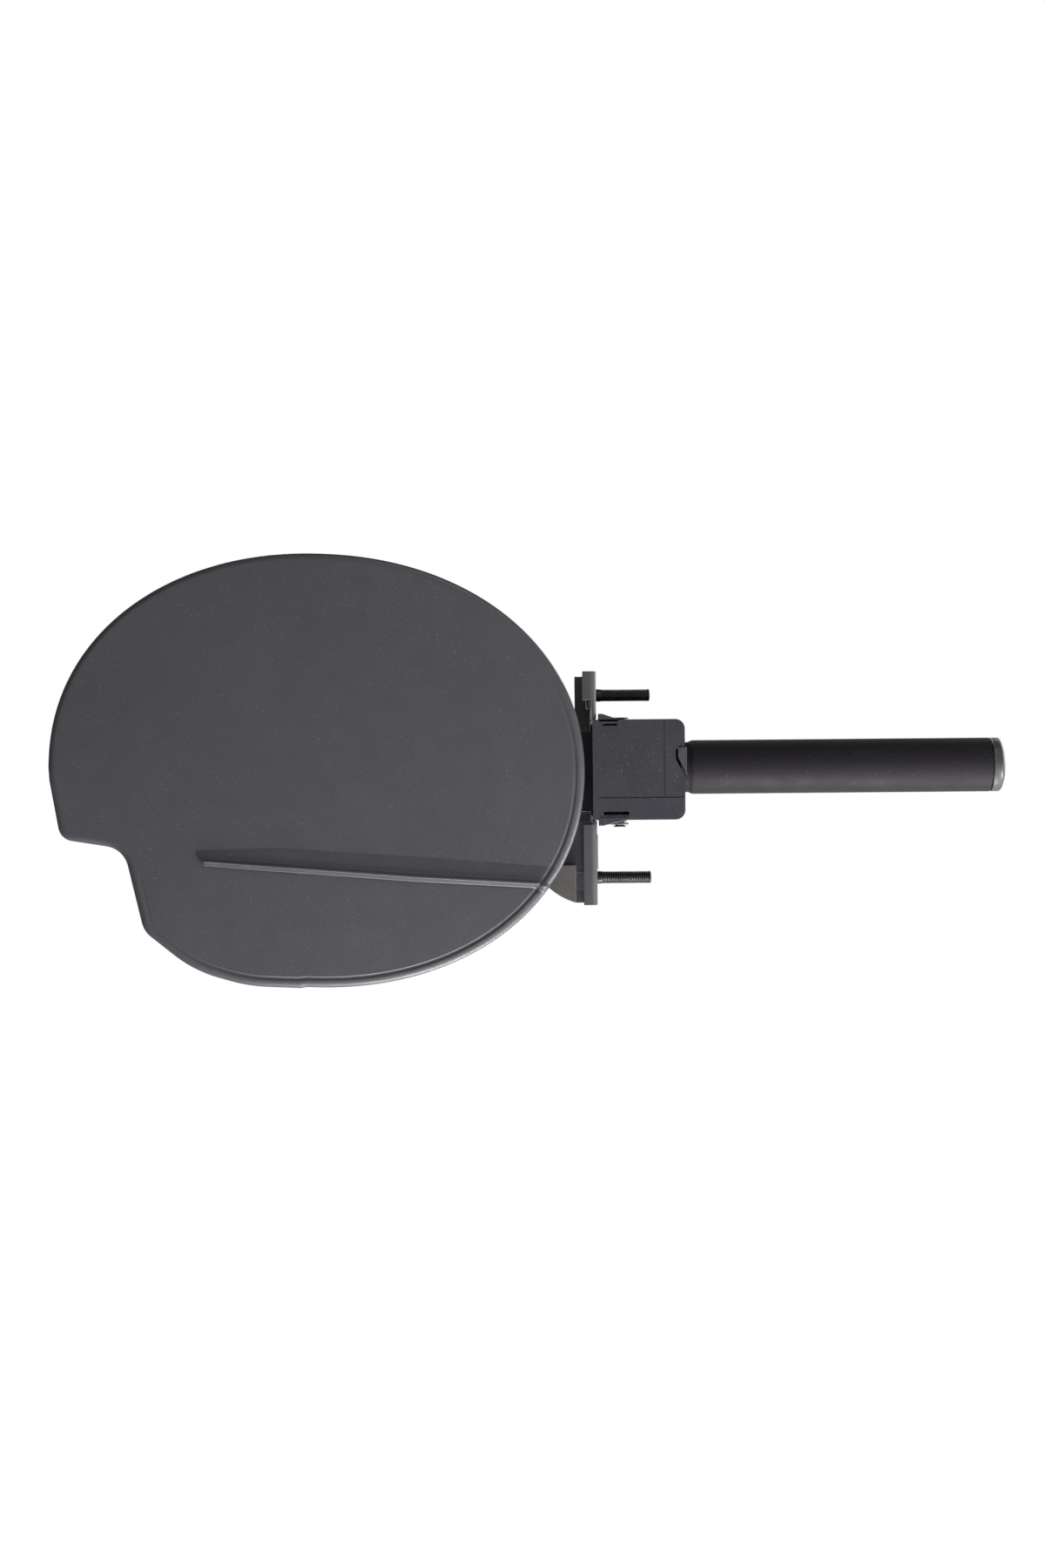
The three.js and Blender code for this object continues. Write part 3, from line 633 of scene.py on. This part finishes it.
def line_share(angle):
    """Share of its depth that the pressed line has: 1 at the lower right, 0 at the left and the top."""
    return smooth(0.2 + 0.9 * math.cos(angle - LINE_ANGLE))


def front_roll():
    """Rings round the rim's front roll, from the front face to the rim's widest."""
    quarter = [math.pi / 2 * k / 8 for k in range(9)]
    return [ring(ROLL_WIDTH * (1 - math.sin(a)), ROLL_DEPTH * (1 - math.cos(a)), math.cos(a))
            for a in quarter]


def back_roll():
    """Rings from the rim's widest round to the hem's back."""
    quarter = [math.pi / 2 * k / 6 for k in range(7)]
    r = HEM_DEPTH - ROLL_DEPTH - RIM_SIDE
    return [ring(r * (1 - math.cos(a)), HEM_DEPTH - r * (1 - math.sin(a))) for a in quarter]


def hem():
    """Rings round the hem's edge, back under it and up to the inside of the front face."""
    inside = HEM_DEPTH - HEM_T
    return [ring(HEM_WIDTH - HEM_ROUND, HEM_DEPTH), ring(HEM_WIDTH, HEM_DEPTH - HEM_ROUND),
            ring(HEM_WIDTH - HEM_ROUND, inside), ring(SKIN_T, inside), ring(SKIN_T, SKIN_T)]


def crease_columns():
    """Columns of points across the crease, from its tip almost to the rim, closer together at the tip."""
    columns = []
    for k in range(CREASE_STATIONS):
        share = (k / CREASE_STATIONS) ** 1.25
        column = []
        for t, height in CREASE_ACROSS:
            x = CREASE_LEFT + (CREASE_ENDS[t] - CREASE_LEFT) * share
            z = crease_point(x, t)
            column.append((FLAP_X + x, depth(-crease_height(x, height)), FLAP_Z + z))
        columns.append(column)
    return columns


def outer_skin():
    """Hemmed sheet: rings round its rim, the crease's grid, and a flat face each in front and inside."""
    rings = pressed_line() + front_roll() + back_roll() + hem()
    points, faces = lofted(rings, caps=False)
    count = len(rings[0])
    faces.append(list(range((len(rings) - 1) * count, len(rings) * count)))

    # the crease's last column is on the rim, where it has the first ring's own points
    lines = len(CREASE_ACROSS)
    columns = []
    for column in crease_columns():
        columns.append(list(range(len(points), len(points) + lines)))
        points += column
    columns.append(list(range(lines))[::-1])
    for first, second in zip(columns, columns[1:]):
        faces += [[first[i], first[i + 1], second[i + 1], second[i]] for i in range(lines - 1)]

    # the flat front face is everything else inside the rim
    round_rim = list(range(lines - 1, count)) + [0]
    below = [column[-1] for column in columns[-2::-1]]
    tip = columns[0][1:-1][::-1]
    above = [column[0] for column in columns[:-1]]
    faces.append(round_rim + below + tip + above)
    return points, faces


def inner_panel():
    """Flat edge inside the hem, a step round it, a raised field and its beads."""
    near = SKIN_T + GAP
    back = [(near, near), (near, near + PANEL_T), (PAN_INSET - 1.6, near + PANEL_T),
            (PAN_INSET - 0.9, near + 1.0), (PAN_INSET - 0.2, PAN_BACK - 1.2),
            (PAN_INSET + 0.2, PAN_BACK - 0.4), (PAN_INSET + 0.9, PAN_BACK)]
    panel = lofted([ring(inset, d) for inset, d in back])
    return [panel] + [bead(*sizes, depth(PAN_BACK)) for sizes in BEADS]


def add_weighted_normals(obj):
    weighted = obj.modifiers.new("flat_faces_stay_flat", "WEIGHTED_NORMAL")
    weighted.keep_sharp = True
    weighted.weight = 100


skin = make("outer_skin", [outer_skin()], FLAP_COAT, sharp=60)
add_weighted_normals(skin)
settle(skin, "flap", "flap_coat", "flap_outer_skin")

panel = make("inner_panel", inner_panel(), FLAP_COAT, sharp=60)
add_weighted_normals(panel)
settle(panel, "flap", "flap_coat", "flap_inner_panel")


def rivet_shape(x, z):
    """Rivet through the panel and the arm's foot, with a flat head inside and a domed one behind."""
    shop = PAN_BACK - PANEL_T - GAP
    back = ARM_FOOT_D + ARM_T / 2 + GAP
    profile = [(AXIS_R, shop - RIVET_HEAD_H), (RIVET_HEAD_R - 0.9, shop - RIVET_HEAD_H),
               (RIVET_HEAD_R, shop), (RIVET_R, shop), (RIVET_R, back), (RIVET_HEAD_R, back),
               (RIVET_HEAD_R - 0.05, back + 0.3), (3.2, back + 0.75), (2.5, back + 1.1), (1.5, back + 1.27),
               (AXIS_R, back + RIVET_HEAD_H)]
    return turned([(r, depth(d)) for r, d in profile], "y", (x, z), 40)


for i, x in enumerate(RIVET_X):
    for k, z in enumerate(RIVET_Z):
        number = 2 * i + k + 1
        head = make(f"rivet_{number}", [rivet_shape(x, z)], STEEL)
        settle(head, "flap", "bare_steel", f"arm_rivet_{number}")


def buffer_shape(x, z):
    """Rubber buffer: a barb through the panel, a flange on its back and a blunt nose."""
    barb, seat = PAN_BACK - PANEL_T - GAP, PAN_BACK + GAP
    profile = [(AXIS_R, barb - 2.4), (BUFFER_NECK_R, barb - 2.4), (BUFFER_BARB_R, barb),
               (BUFFER_NECK_R, barb), (BUFFER_NECK_R, seat), (BUFFER_FLANGE_R - 0.2, seat),
               (BUFFER_FLANGE_R, seat + 0.4), (BUFFER_FLANGE_R, seat + 1.6), (4.9, seat + 2.0),
               (4.7, seat + 2.6), (4.8, seat + 4.6), (4.4, seat + 5.7), (3.6, seat + 6.3), (2.0, seat + 6.5),
               (AXIS_R, seat + 6.5)]
    return turned([(r, depth(d)) for r, d in profile], "y", (x, z), 48)


for name, (x, z) in BUFFERS.items():
    moulding = make(f"{name}_moulding", [buffer_shape(x, z)], BLACK_RUBBER)
    settle(moulding, "flap", "rubber", name)


def arm_shapes():
    """Strip folded from the pivot round the body's edge to the flap, and its two crank ears."""
    run = [(PIVOT[0], depth(ARM_START_D), 0), (PIVOT[0], depth(ARM_DEEP_D), 4.5),
           (ARM_LEG_X, depth(ARM_DEEP_D), 5), (ARM_LEG_X, depth(ARM_FOOT_D), 3.5),
           (ARM_FOOT_X, depth(ARM_FOOT_D), 0)]
    shapes = [strip(run, ARM_T, ARM_LOW, ARM_HIGH)]
    root = [(PIVOT[0] - ARM_T / 2, depth(EAR_ROOT_D)), (PIVOT[0] + ARM_T / 2, depth(EAR_ROOT_D))]
    outline = hull(circle(PIVOT, PIVOT_EAR_R) + circle(LINK, LINK_EAR_R) + root)
    for bottom in (ARM_LOW, ARM_HIGH - ARM_T):
        shapes.append(prism(outline, "xy", bottom, bottom + ARM_T))
    return shapes


arm = make("gooseneck_arm", arm_shapes(), HINGE_COAT, bevel=0.3)
settle(arm, "flap", "hinge_coat", "hinge_arm")


# ---- the mounting plate ----------------------------------------------------------------------
def plate_shape():
    """C-section folded from one sheet. Its seat is on x = 0 and stands proud of its web's right face."""
    sheet = PLATE_T - SEAT_PROUD
    half = sheet / 2
    web = -SEAT_PROUD - half
    run = [(-NEAR_FLANGE, -PLATE_HALF + half, 0), (web, -PLATE_HALF + half, 1.4),
           (web, PLATE_HALF - half, 1.4), (-FAR_FLANGE, PLATE_HALF - half, 0)]
    return strip(run, sheet, PLATE_BOTTOM, PLATE_TOP)


# The plate and its seat take the lighter copy of the hinge coat: painted light on their faces.
plate = make("folded_plate", [plate_shape()], LIT_HINGE_COAT)
mouth = block((-10, 10), MOUTH_Y, MOUTH_Z)
flange_gap = block((-10, -PLATE_T + 0.2), (-30, -PLATE_HALF + PLATE_T + 0.6), ARM_GAP)
cut(plate, [mouth, flange_gap])
add_bevel(plate, 0.25)
settle(plate, "hinge_base", "hinge_coat", "mounting_plate")

seat = make("plate_seat", [block((-SEAT_PROUD - 0.3, 0), SEAT_Y, SEAT_Z)], LIT_HINGE_COAT, bevel=0.25)
settle(seat, "hinge_base", "hinge_coat", "mounting_plate")


def thread_radius(x, angle):
    """Radius of the rolled thread at a place along the stud; its groove fades out at both ends."""
    turn = (x / THREAD_PITCH - angle / (2 * math.pi)) % 1.0
    ramp = min(1.0, max(0.0, (x - THREAD_START) / 0.8)) * min(1.0, max(0.0, (THREAD_END - x) / 0.9))
    groove = THREAD_SHARE * THREAD_PITCH * min(1.0, 1.25 * abs(2 * turn - 1))
    return STUD_R - groove * ramp


def stud_shape(z):
    """Stud with a flat head behind the plate's web, a helical thread and a pointed end."""
    steps, around = 230, 28
    angles = [2 * math.pi * i / around for i in range(around)]

    def plain(r, x):
        return [placed("x", (0, z), r, x, angle) for angle in angles]

    under = -(PLATE_T + GAP)
    back = under - STUD_HEAD_T
    rings = [plain(AXIS_R, back), plain(STUD_HEAD_R - 0.4, back), plain(STUD_HEAD_R, back + 0.3),
             plain(STUD_HEAD_R, under), plain(STUD_R, under)]
    for k in range(steps + 1):
        x = (STUD_END - 0.35) * k / steps
        rings.append([placed("x", (0, z), thread_radius(x, angle), x, angle) for angle in angles])
    rings += [plain(STUD_R - 0.55, STUD_END), plain(AXIS_R, STUD_END)]
    return lofted(rings)


for name, z in zip(("stud_lower", "stud_upper"), STUD_Z):
    stud = make(f"{name}_threaded", [stud_shape(z)], DARK_STEEL, sharp=80)
    settle(stud, "hinge_base", "bare_steel", name)


# ---- the stop, behind the flap's lower right rim -----------------------------------------------
def stop_outline(x_span, z_span):
    """Outline over a span of x and of z, trimmed below by the stop's arc."""
    (left, right), (bottom, top) = x_span, z_span
    steps = 24
    arc = []
    for k in range(steps + 1):
        x = left + (right - left) * k / steps
        reach = math.sqrt(max(0.0, STOP_R ** 2 - (x - STOP_CENTRE[0]) ** 2))
        arc.append((x, max(bottom, STOP_CENTRE[1] - reach)))
    return arc + [(right, top), (left, top)]


# Painted shade: the tab and its foot take the darker hinge coat, not the lighter copy, to stand in for the
# shadow behind the flap's edge.
tab = make("stop_tab", [prism(stop_outline(TAB_X, TAB_Z), "xz", *depths(TAB_D))], HINGE_COAT)
cut(tab, [block(TAB_SLOT_X, depths((5, 10)), TAB_SLOT_Z)])
foot = make("stop_foot", [block(FOOT_X, depths(FOOT_D), FOOT_Z)], HINGE_COAT)
for piece in (tab, foot):
    add_bevel(piece, 0.25)
    settle(piece, "hinge_base", "hinge_coat", "stop_bracket")

pad = make("rubber_pad", [prism(stop_outline(PAD_X, PAD_Z), "xz", *depths(PAD_D))], RUBBER, bevel=0.5)
settle(pad, "hinge_base", "rubber", "stop_pad")


# ---- the hinge housing -----------------------------------------------------------------------
def box_outline(inset, left):
    """The housing from the front, drawn in by inset, with its left end at left."""
    right, low, high = BOX_X[1] - inset, BOX_Z[0] + inset, BOX_Z[1] - inset
    r = BOX_CORNER - inset
    corners = [(left, low, 0), (right, low, r), (right, high, r), (left, high, 0)]
    return [tuple(p) for p in rounded(corners)]


def lug_shape(wall, outward, end):
    """Lug that flares outward from a wall of the housing towards the plate."""
    tip, root = wall + outward * LUG_REACH, wall - outward * 0.8
    outline = [(GAP, root), (end, root), (end, wall), (GAP + LUG_FLAT, tip), (GAP, tip)]
    return prism(outline, "xz", BOX_Y[0], BOX_Y[0] + LUG_WIDTH)


def housing():
    """Box that is open to the arm and the tube, with the notch, slots and pressed lines of its near wall."""
    box = make("housing_box", [prism(box_outline(0, BOX_X[0]), "xz", *BOX_Y)], HINGE_COAT)
    near = BOX_Y[0]

    def sunk(x, z, d):
        """A cutter that goes d into the near wall."""
        return block(x, (near - 1, near + d), z)

    inner = prism(box_outline(BOX_WALL, -5), "xz", BOX_Y[0] + BOX_WALL, BOX_Y[1] - BOX_WALL)
    bore = turned([(TUBE_MOUTH_R, 20), (TUBE_MOUTH_R, 40)], "x", TUBE_AT)
    notch = prism(WALL_NOTCH, "xz", near - 1, near + BOX_WALL + 0.1)
    step = sunk((0.6, 40), (0, BOX_STEP_Z), 0.35)
    groove = sunk((0.6, 40), (BOX_STEP_Z, BOX_STEP_Z + 0.4), 0.8)
    fold = sunk((BOX_FOLD_X - 0.18, BOX_FOLD_X + 0.18), (5, 42), 0.3)
    slots = [sunk(x, z, 3) for x, z in WALL_SLOTS]
    cut(box, [inner, bore, notch, step, groove, fold, *slots])
    add_bevel(box, 0.22)
    return box


box = housing()
settle(box, "hinge_base", "hinge_coat", "hinge_housing")

# The tongue takes the lighter copy of the hinge coat: painted light on it.
tongue_shape = prism(TONGUE, "xz", BOX_Y[0] + 0.7, BOX_Y[0] + 1.5)
tongue = make("housing_tongue", [tongue_shape], LIT_HINGE_COAT, bevel=0.2)
settle(tongue, "hinge_base", "hinge_coat", "hinge_housing")

lugs = make("housing_lugs", [
    lug_shape(BOX_Z[1], 1, UPPER_LUG_END),
    lug_shape(BOX_Z[0], -1, LOWER_LUG_END),
], HINGE_COAT, bevel=0.2)
settle(lugs, "hinge_base", "hinge_coat", "hinge_housing")


def bush_shape(inside, outward):
    """Flanged bush in one of the housing's walls, its flange on the wall's inside."""
    face = inside - outward * GAP
    profile = [(PIVOT_BORE, -0.5), (BUSH_FLANGE_R - 0.2, -0.5), (BUSH_FLANGE_R, -0.3), (BUSH_FLANGE_R, 0),
               (BUSH_R, 0), (BUSH_R, 1.4), (PIVOT_BORE, 1.4)]
    return turned([(r, face + outward * h) for r, h in profile], "z", PIVOT, 40, closed=True)


BUSHES = {"bush_upper": (BOX_Z[1] - BOX_WALL, 1), "bush_lower": (BOX_Z[0] + BOX_WALL, -1)}
for name, (inside, outward) in BUSHES.items():
    bush = make(f"{name}_moulding", [bush_shape(inside, outward)], NYLON)
    settle(bush, "hinge_base", "nylon", name)


def pivot_pin_shape():
    """Pin with a thin flat head on top and a groove for its clip below."""
    low, high = CLIP_Z[0] - GAP, CLIP_Z[1] + GAP
    top = PIN_TOP + PIN_HEAD_T
    profile = [(AXIS_R, PIN_BOTTOM), (PIN_R - 0.2, PIN_BOTTOM), (PIN_R, PIN_BOTTOM + 0.2), (PIN_R, low),
               (PIN_GROOVE_R, low), (PIN_GROOVE_R, high), (PIN_R, high), (PIN_R, PIN_TOP),
               (PIN_HEAD_R - 0.1, PIN_TOP), (PIN_HEAD_R, PIN_TOP + 0.1), (PIN_HEAD_R, PIN_TOP + 0.25),
               (PIN_HEAD_R - 0.2, PIN_TOP + 0.36), (PIN_HEAD_R - 0.6, top), (AXIS_R, top)]
    return turned(profile, "z", PIVOT, 40)


pin = make("pivot_pin_turned", [pivot_pin_shape()], DARK_STEEL)
settle(pin, "hinge_base", "bare_steel", "pivot_pin")


def clip_outline():
    """Open ring that snaps into the pin's groove, its mouth towards +X."""
    mouth = math.radians(24)
    turns = [mouth + (2 * math.pi - 2 * mouth) * k / 40 for k in range(41)]
    points = []
    for r, angles in ((CLIP_R, turns), (CLIP_BORE, turns[::-1])):
        points += [(PIVOT[0] + r * math.cos(a), PIVOT[1] + r * math.sin(a)) for a in angles]
    return points


clip = make("clip_ring", [prism(clip_outline(), "xy", *CLIP_Z)], STEEL, bevel=0.1)
settle(clip, "hinge_base", "bare_steel", "pin_retaining_clip")


# ---- the spring tube -------------------------------------------------------------------------
def tube_shape():
    """Drawn tube with a slightly narrower neck where it enters the housing."""
    profile = [(NECK_BORE, NECK_START), (NECK_R - 0.2, NECK_START), (NECK_R, NECK_START + 0.3),
               (NECK_R, 28.6), (8.0, 29.0), (8.25, 29.5), (8.42, 29.9), (TUBE_R, 30.4),
               (TUBE_R, TUBE_END - 0.2), (TUBE_R - 0.2, TUBE_END), (TUBE_BORE + 0.1, TUBE_END),
               (TUBE_BORE, TUBE_END - 0.2), (TUBE_BORE, 30.0), (NECK_BORE, 28.8)]
    return turned(profile, "x", TUBE_AT, 96, closed=True)


def cap_shape():
    """Cap with a plug inside the tube, a rim as wide as the tube and a slight dome."""
    shoulder = TUBE_END + GAP
    profile = [(AXIS_R, CAP_START), (CAP_PLUG_R - 0.2, CAP_START), (CAP_PLUG_R, CAP_START + 0.2),
               (CAP_PLUG_R, shoulder), (TUBE_R - 0.2, shoulder), (TUBE_R, shoulder + 0.2),
               (TUBE_R, CAP_RIM - 0.5), (8.35, CAP_RIM - 0.1), (8.0, CAP_RIM + 0.25), (7.3, CAP_RIM + 0.6),
               (6.0, CAP_RIM + 1.05), (4.0, CAP_RIM + 1.45), (2.0, CAP_RIM + 1.65), (AXIS_R, CAP_END)]
    return turned(profile, "x", TUBE_AT, 96)


tube = make("tube_drawn", [tube_shape()], TUBE_COAT)
settle(tube, "hinge_base", "hinge_coat", "spring_tube")

# The cap takes the lighter copy of the hinge coat: painted light on its end.
cap = make("cap_pressed", [cap_shape()], LIT_HINGE_COAT)
settle(cap, "hinge_base", "hinge_coat", "tube_end_cap")


def spring_shape():
    """Helix of even pitch; each section of its wire is in a plane through the tube's axis."""
    steps, around = 620, 10
    r, wire = SPRING["r"], SPRING["wire"]
    length = SPRING["end"] - SPRING["start"] - 2 * wire
    section = [2 * math.pi * i / around for i in range(around)]
    forward = Vector((1, 0, 0))
    rings = []
    for k in range(steps + 1):
        share = k / steps
        angle = 2 * math.pi * SPRING["coils"] * share
        x = SPRING["start"] + wire + length * share
        centre = Vector((x, TUBE_Y + r * math.cos(angle), TUBE_Z + r * math.sin(angle)))
        out = Vector((0, math.cos(angle), math.sin(angle)))
        rings.append([tuple(centre + wire * (out * math.cos(a) + forward * math.sin(a))) for a in section])
    return lofted(rings)


spring = make("spring_coil", [spring_shape()], STEEL, sharp=80)
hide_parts("compression_spring")
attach(spring, "hinge_base")


# ---- pins, sleeves and the push rod ----------------------------------------------------------
def sleeve(at, inner, outer, bottom, top):
    """Plain sleeve with its outer edges broken."""
    profile = [(inner, bottom), (outer - EDGE_BREAK, bottom), (outer, bottom + EDGE_BREAK),
               (outer, top - EDGE_BREAK), (outer - EDGE_BREAK, top), (inner, top)]
    return turned(profile, "z", at, 40, closed=True)


SLEEVES = {
    "pivot_sleeve": (PIVOT, PIVOT_BORE, 3.1, ARM_LOW + ARM_T + GAP, ARM_HIGH - ARM_T - GAP),
    "link_spacer_lower": (LINK, LINK_BORE, 2.6, ARM_LOW + ARM_T + GAP, EYE_LOW - GAP),
    "link_spacer_upper": (LINK, LINK_BORE, 2.6, EYE_HIGH + GAP, ARM_HIGH - ARM_T - GAP),
}
for name, sizes in SLEEVES.items():
    tube_piece = make(f"{name}_turned", [sleeve(*sizes)], STEEL)
    settle(tube_piece, "flap", "bare_steel", name)


def link_pin_shape():
    """Pin with a low head above the arm's upper ear."""
    start, top = ARM_LOW - 0.9, LINK_TOP + LINK_HEAD_T
    profile = [(AXIS_R, start), (LINK_PIN_R - 0.2, start), (LINK_PIN_R, ARM_LOW - 0.7),
               (LINK_PIN_R, LINK_TOP), (LINK_HEAD_R, LINK_TOP), (LINK_HEAD_R, LINK_TOP + 0.4),
               (LINK_HEAD_R - 0.4, top), (AXIS_R, top)]
    return turned(profile, "z", LINK, 32)


link_pin = make("link_pin_turned", [link_pin_shape()], STEEL)
settle(link_pin, "flap", "bare_steel", "link_pin")


def along_rod(shape):
    """A shape drawn along X from the rod's eye, turned to the rod's angle at rest."""
    turn = Matrix.Rotation(ROD_ANGLE, 3, "Z")
    centre = Vector((LINK[0], LINK[1], TUBE_Z))
    points, faces = shape
    return [tuple(turn @ Vector(p) + centre) for p in points], faces


eye_profile = [(EYE_R, -EYE_HALF + 0.2), (EYE_R, EYE_HALF - 0.2), (EYE_R - 0.2, EYE_HALF),
               (LINK_BORE, EYE_HALF), (LINK_BORE, -EYE_HALF), (EYE_R - 0.2, -EYE_HALF)]
rod_profile = [(ROD_R, 2.4), (ROD_R, ROD_LENGTH + 0.6), (ROD_R - 0.4, ROD_LENGTH + 1),
               (AXIS_R, ROD_LENGTH + 1)]
rod = make("rod_forged", [
    along_rod(turned(eye_profile, "z", (0, 0), 40, closed=True)),
    along_rod(turned(rod_profile, "x", (0, 0), 32)),
], STEEL)
settle(rod, "spring_rod", "bare_steel", "push_rod")


def head_profile():
    """Ball with a socket for the rod's end."""
    start = math.asin(SOCKET_R / HEAD_R)
    arc = [(HEAD_R * math.sin(a), ROD_LENGTH - HEAD_R * math.cos(a))
           for a in [start + (math.pi - start) * k / 24 for k in range(24)]]
    bottom = ROD_LENGTH + SOCKET_DEPTH
    return [(AXIS_R, bottom), (SOCKET_R, bottom)] + arc + [(AXIS_R, ROD_LENGTH + HEAD_R)]


head = make("head_moulded", [along_rod(turned(head_profile(), "x", (0, 0), 56))], NYLON)
settle(head, "spring_rod", "nylon", "rod_head")


# ---- floor, light and camera -----------------------------------------------------------------
def floor_material():
    """Pale matt floor with faint clouds."""
    n = Nodes("pale_floor")
    tone = n.mix(n.spread(n.noise(6), 0, 1), (0.86, 0.86, 0.86, 1), (0.9, 0.9, 0.9, 1))
    n.join(tone, n.shader.inputs["Base Color"])
    n.shader.inputs["Roughness"].default_value = 0.8
    return n.material


floor = make("floor", [block((-1000, 1000), (-1300, 450), (FLOOR_Z - 10, FLOOR_Z))], floor_material())


def studio_world():
    """White room behind the object. As a light it is bright at the lower right, dim at the upper left."""
    world = bpy.data.worlds.new("studio")
    world.use_nodes = True
    tree = world.node_tree
    background = tree.nodes["Background"]
    place = tree.nodes.new("ShaderNodeTexCoord")
    towards = tree.nodes.new("ShaderNodeVectorMath")
    towards.operation = "DOT_PRODUCT"
    towards.inputs[1].default_value = (0.5, 0.0, -0.86)
    level = tree.nodes.new("ShaderNodeMapRange")
    level.inputs["From Min"].default_value = -0.6
    level.inputs["From Max"].default_value = 0.6
    level.inputs["To Min"].default_value = 0.2
    level.inputs["To Max"].default_value = 1.1
    rays = tree.nodes.new("ShaderNodeLightPath")
    seen = tree.nodes.new("ShaderNodeMix")
    seen.inputs["B"].default_value = 1.0
    tree.links.new(place.outputs["Generated"], towards.inputs[0])
    tree.links.new(towards.outputs["Value"], level.inputs["Value"])
    tree.links.new(rays.outputs["Is Camera Ray"], seen.inputs["Factor"])
    tree.links.new(level.outputs["Result"], seen.inputs["A"])
    tree.links.new(seen.outputs["Result"], background.inputs["Color"])
    background.inputs["Strength"].default_value = 1.0
    bpy.context.scene.world = world


def softbox(name, place, target, size, watts):
    """Rectangular area light, in metres, turned towards its target."""
    light = bpy.data.lights.new(name, "AREA")
    light.shape = "RECTANGLE"
    light.size, light.size_y = size
    light.energy = watts
    obj = bpy.data.objects.new(name, light)
    obj.location = place
    obj.rotation_euler = (Vector(target) - Vector(place)).to_track_quat("-Z", "Y").to_euler()
    bpy.context.scene.collection.objects.link(obj)


def add_camera():
    """Camera straight in front of the skin, with a slight roll."""
    data = bpy.data.cameras.new("camera")
    data.sensor_width = SENSOR
    data.lens = LENS
    camera = bpy.data.objects.new("camera", data)
    camera.location = Vector(CAMERA_AT) * MM
    camera.rotation_euler = (math.radians(90), CAMERA_ROLL, 0)
    bpy.context.scene.collection.objects.link(camera)
    bpy.context.scene.camera = camera


studio_world()
flap_low = (-0.06, SKIN_Y * MM, 0.0)     # where the two grazing lights aim, in metres
softbox("low_graze", (0.05, -0.16, -0.38), flap_low, (0.35, 0.08), 5.5)
softbox("right_graze", (0.42, -0.16, -0.22), flap_low, (0.2, 0.1), 4.0)
softbox("key", (0.35, -0.75, -0.30), (-0.02, 0, 0.02), (0.5, 0.4), 1.5)
softbox("top", (0.15, -0.45, 0.60), (0.05, 0, 0.02), (0.4, 0.3), 1.5)
softbox("back", (0.5, 0.35, 0.25), (0, 0, 0.02), (0.5, 0.5), 3.0)
softbox("rear", (-0.35, 0.6, 0.45), (-0.05, 0, 0.02), (0.5, 0.5), 5.0)
add_camera()
bpy.context.scene.view_settings.view_transform = "Standard"
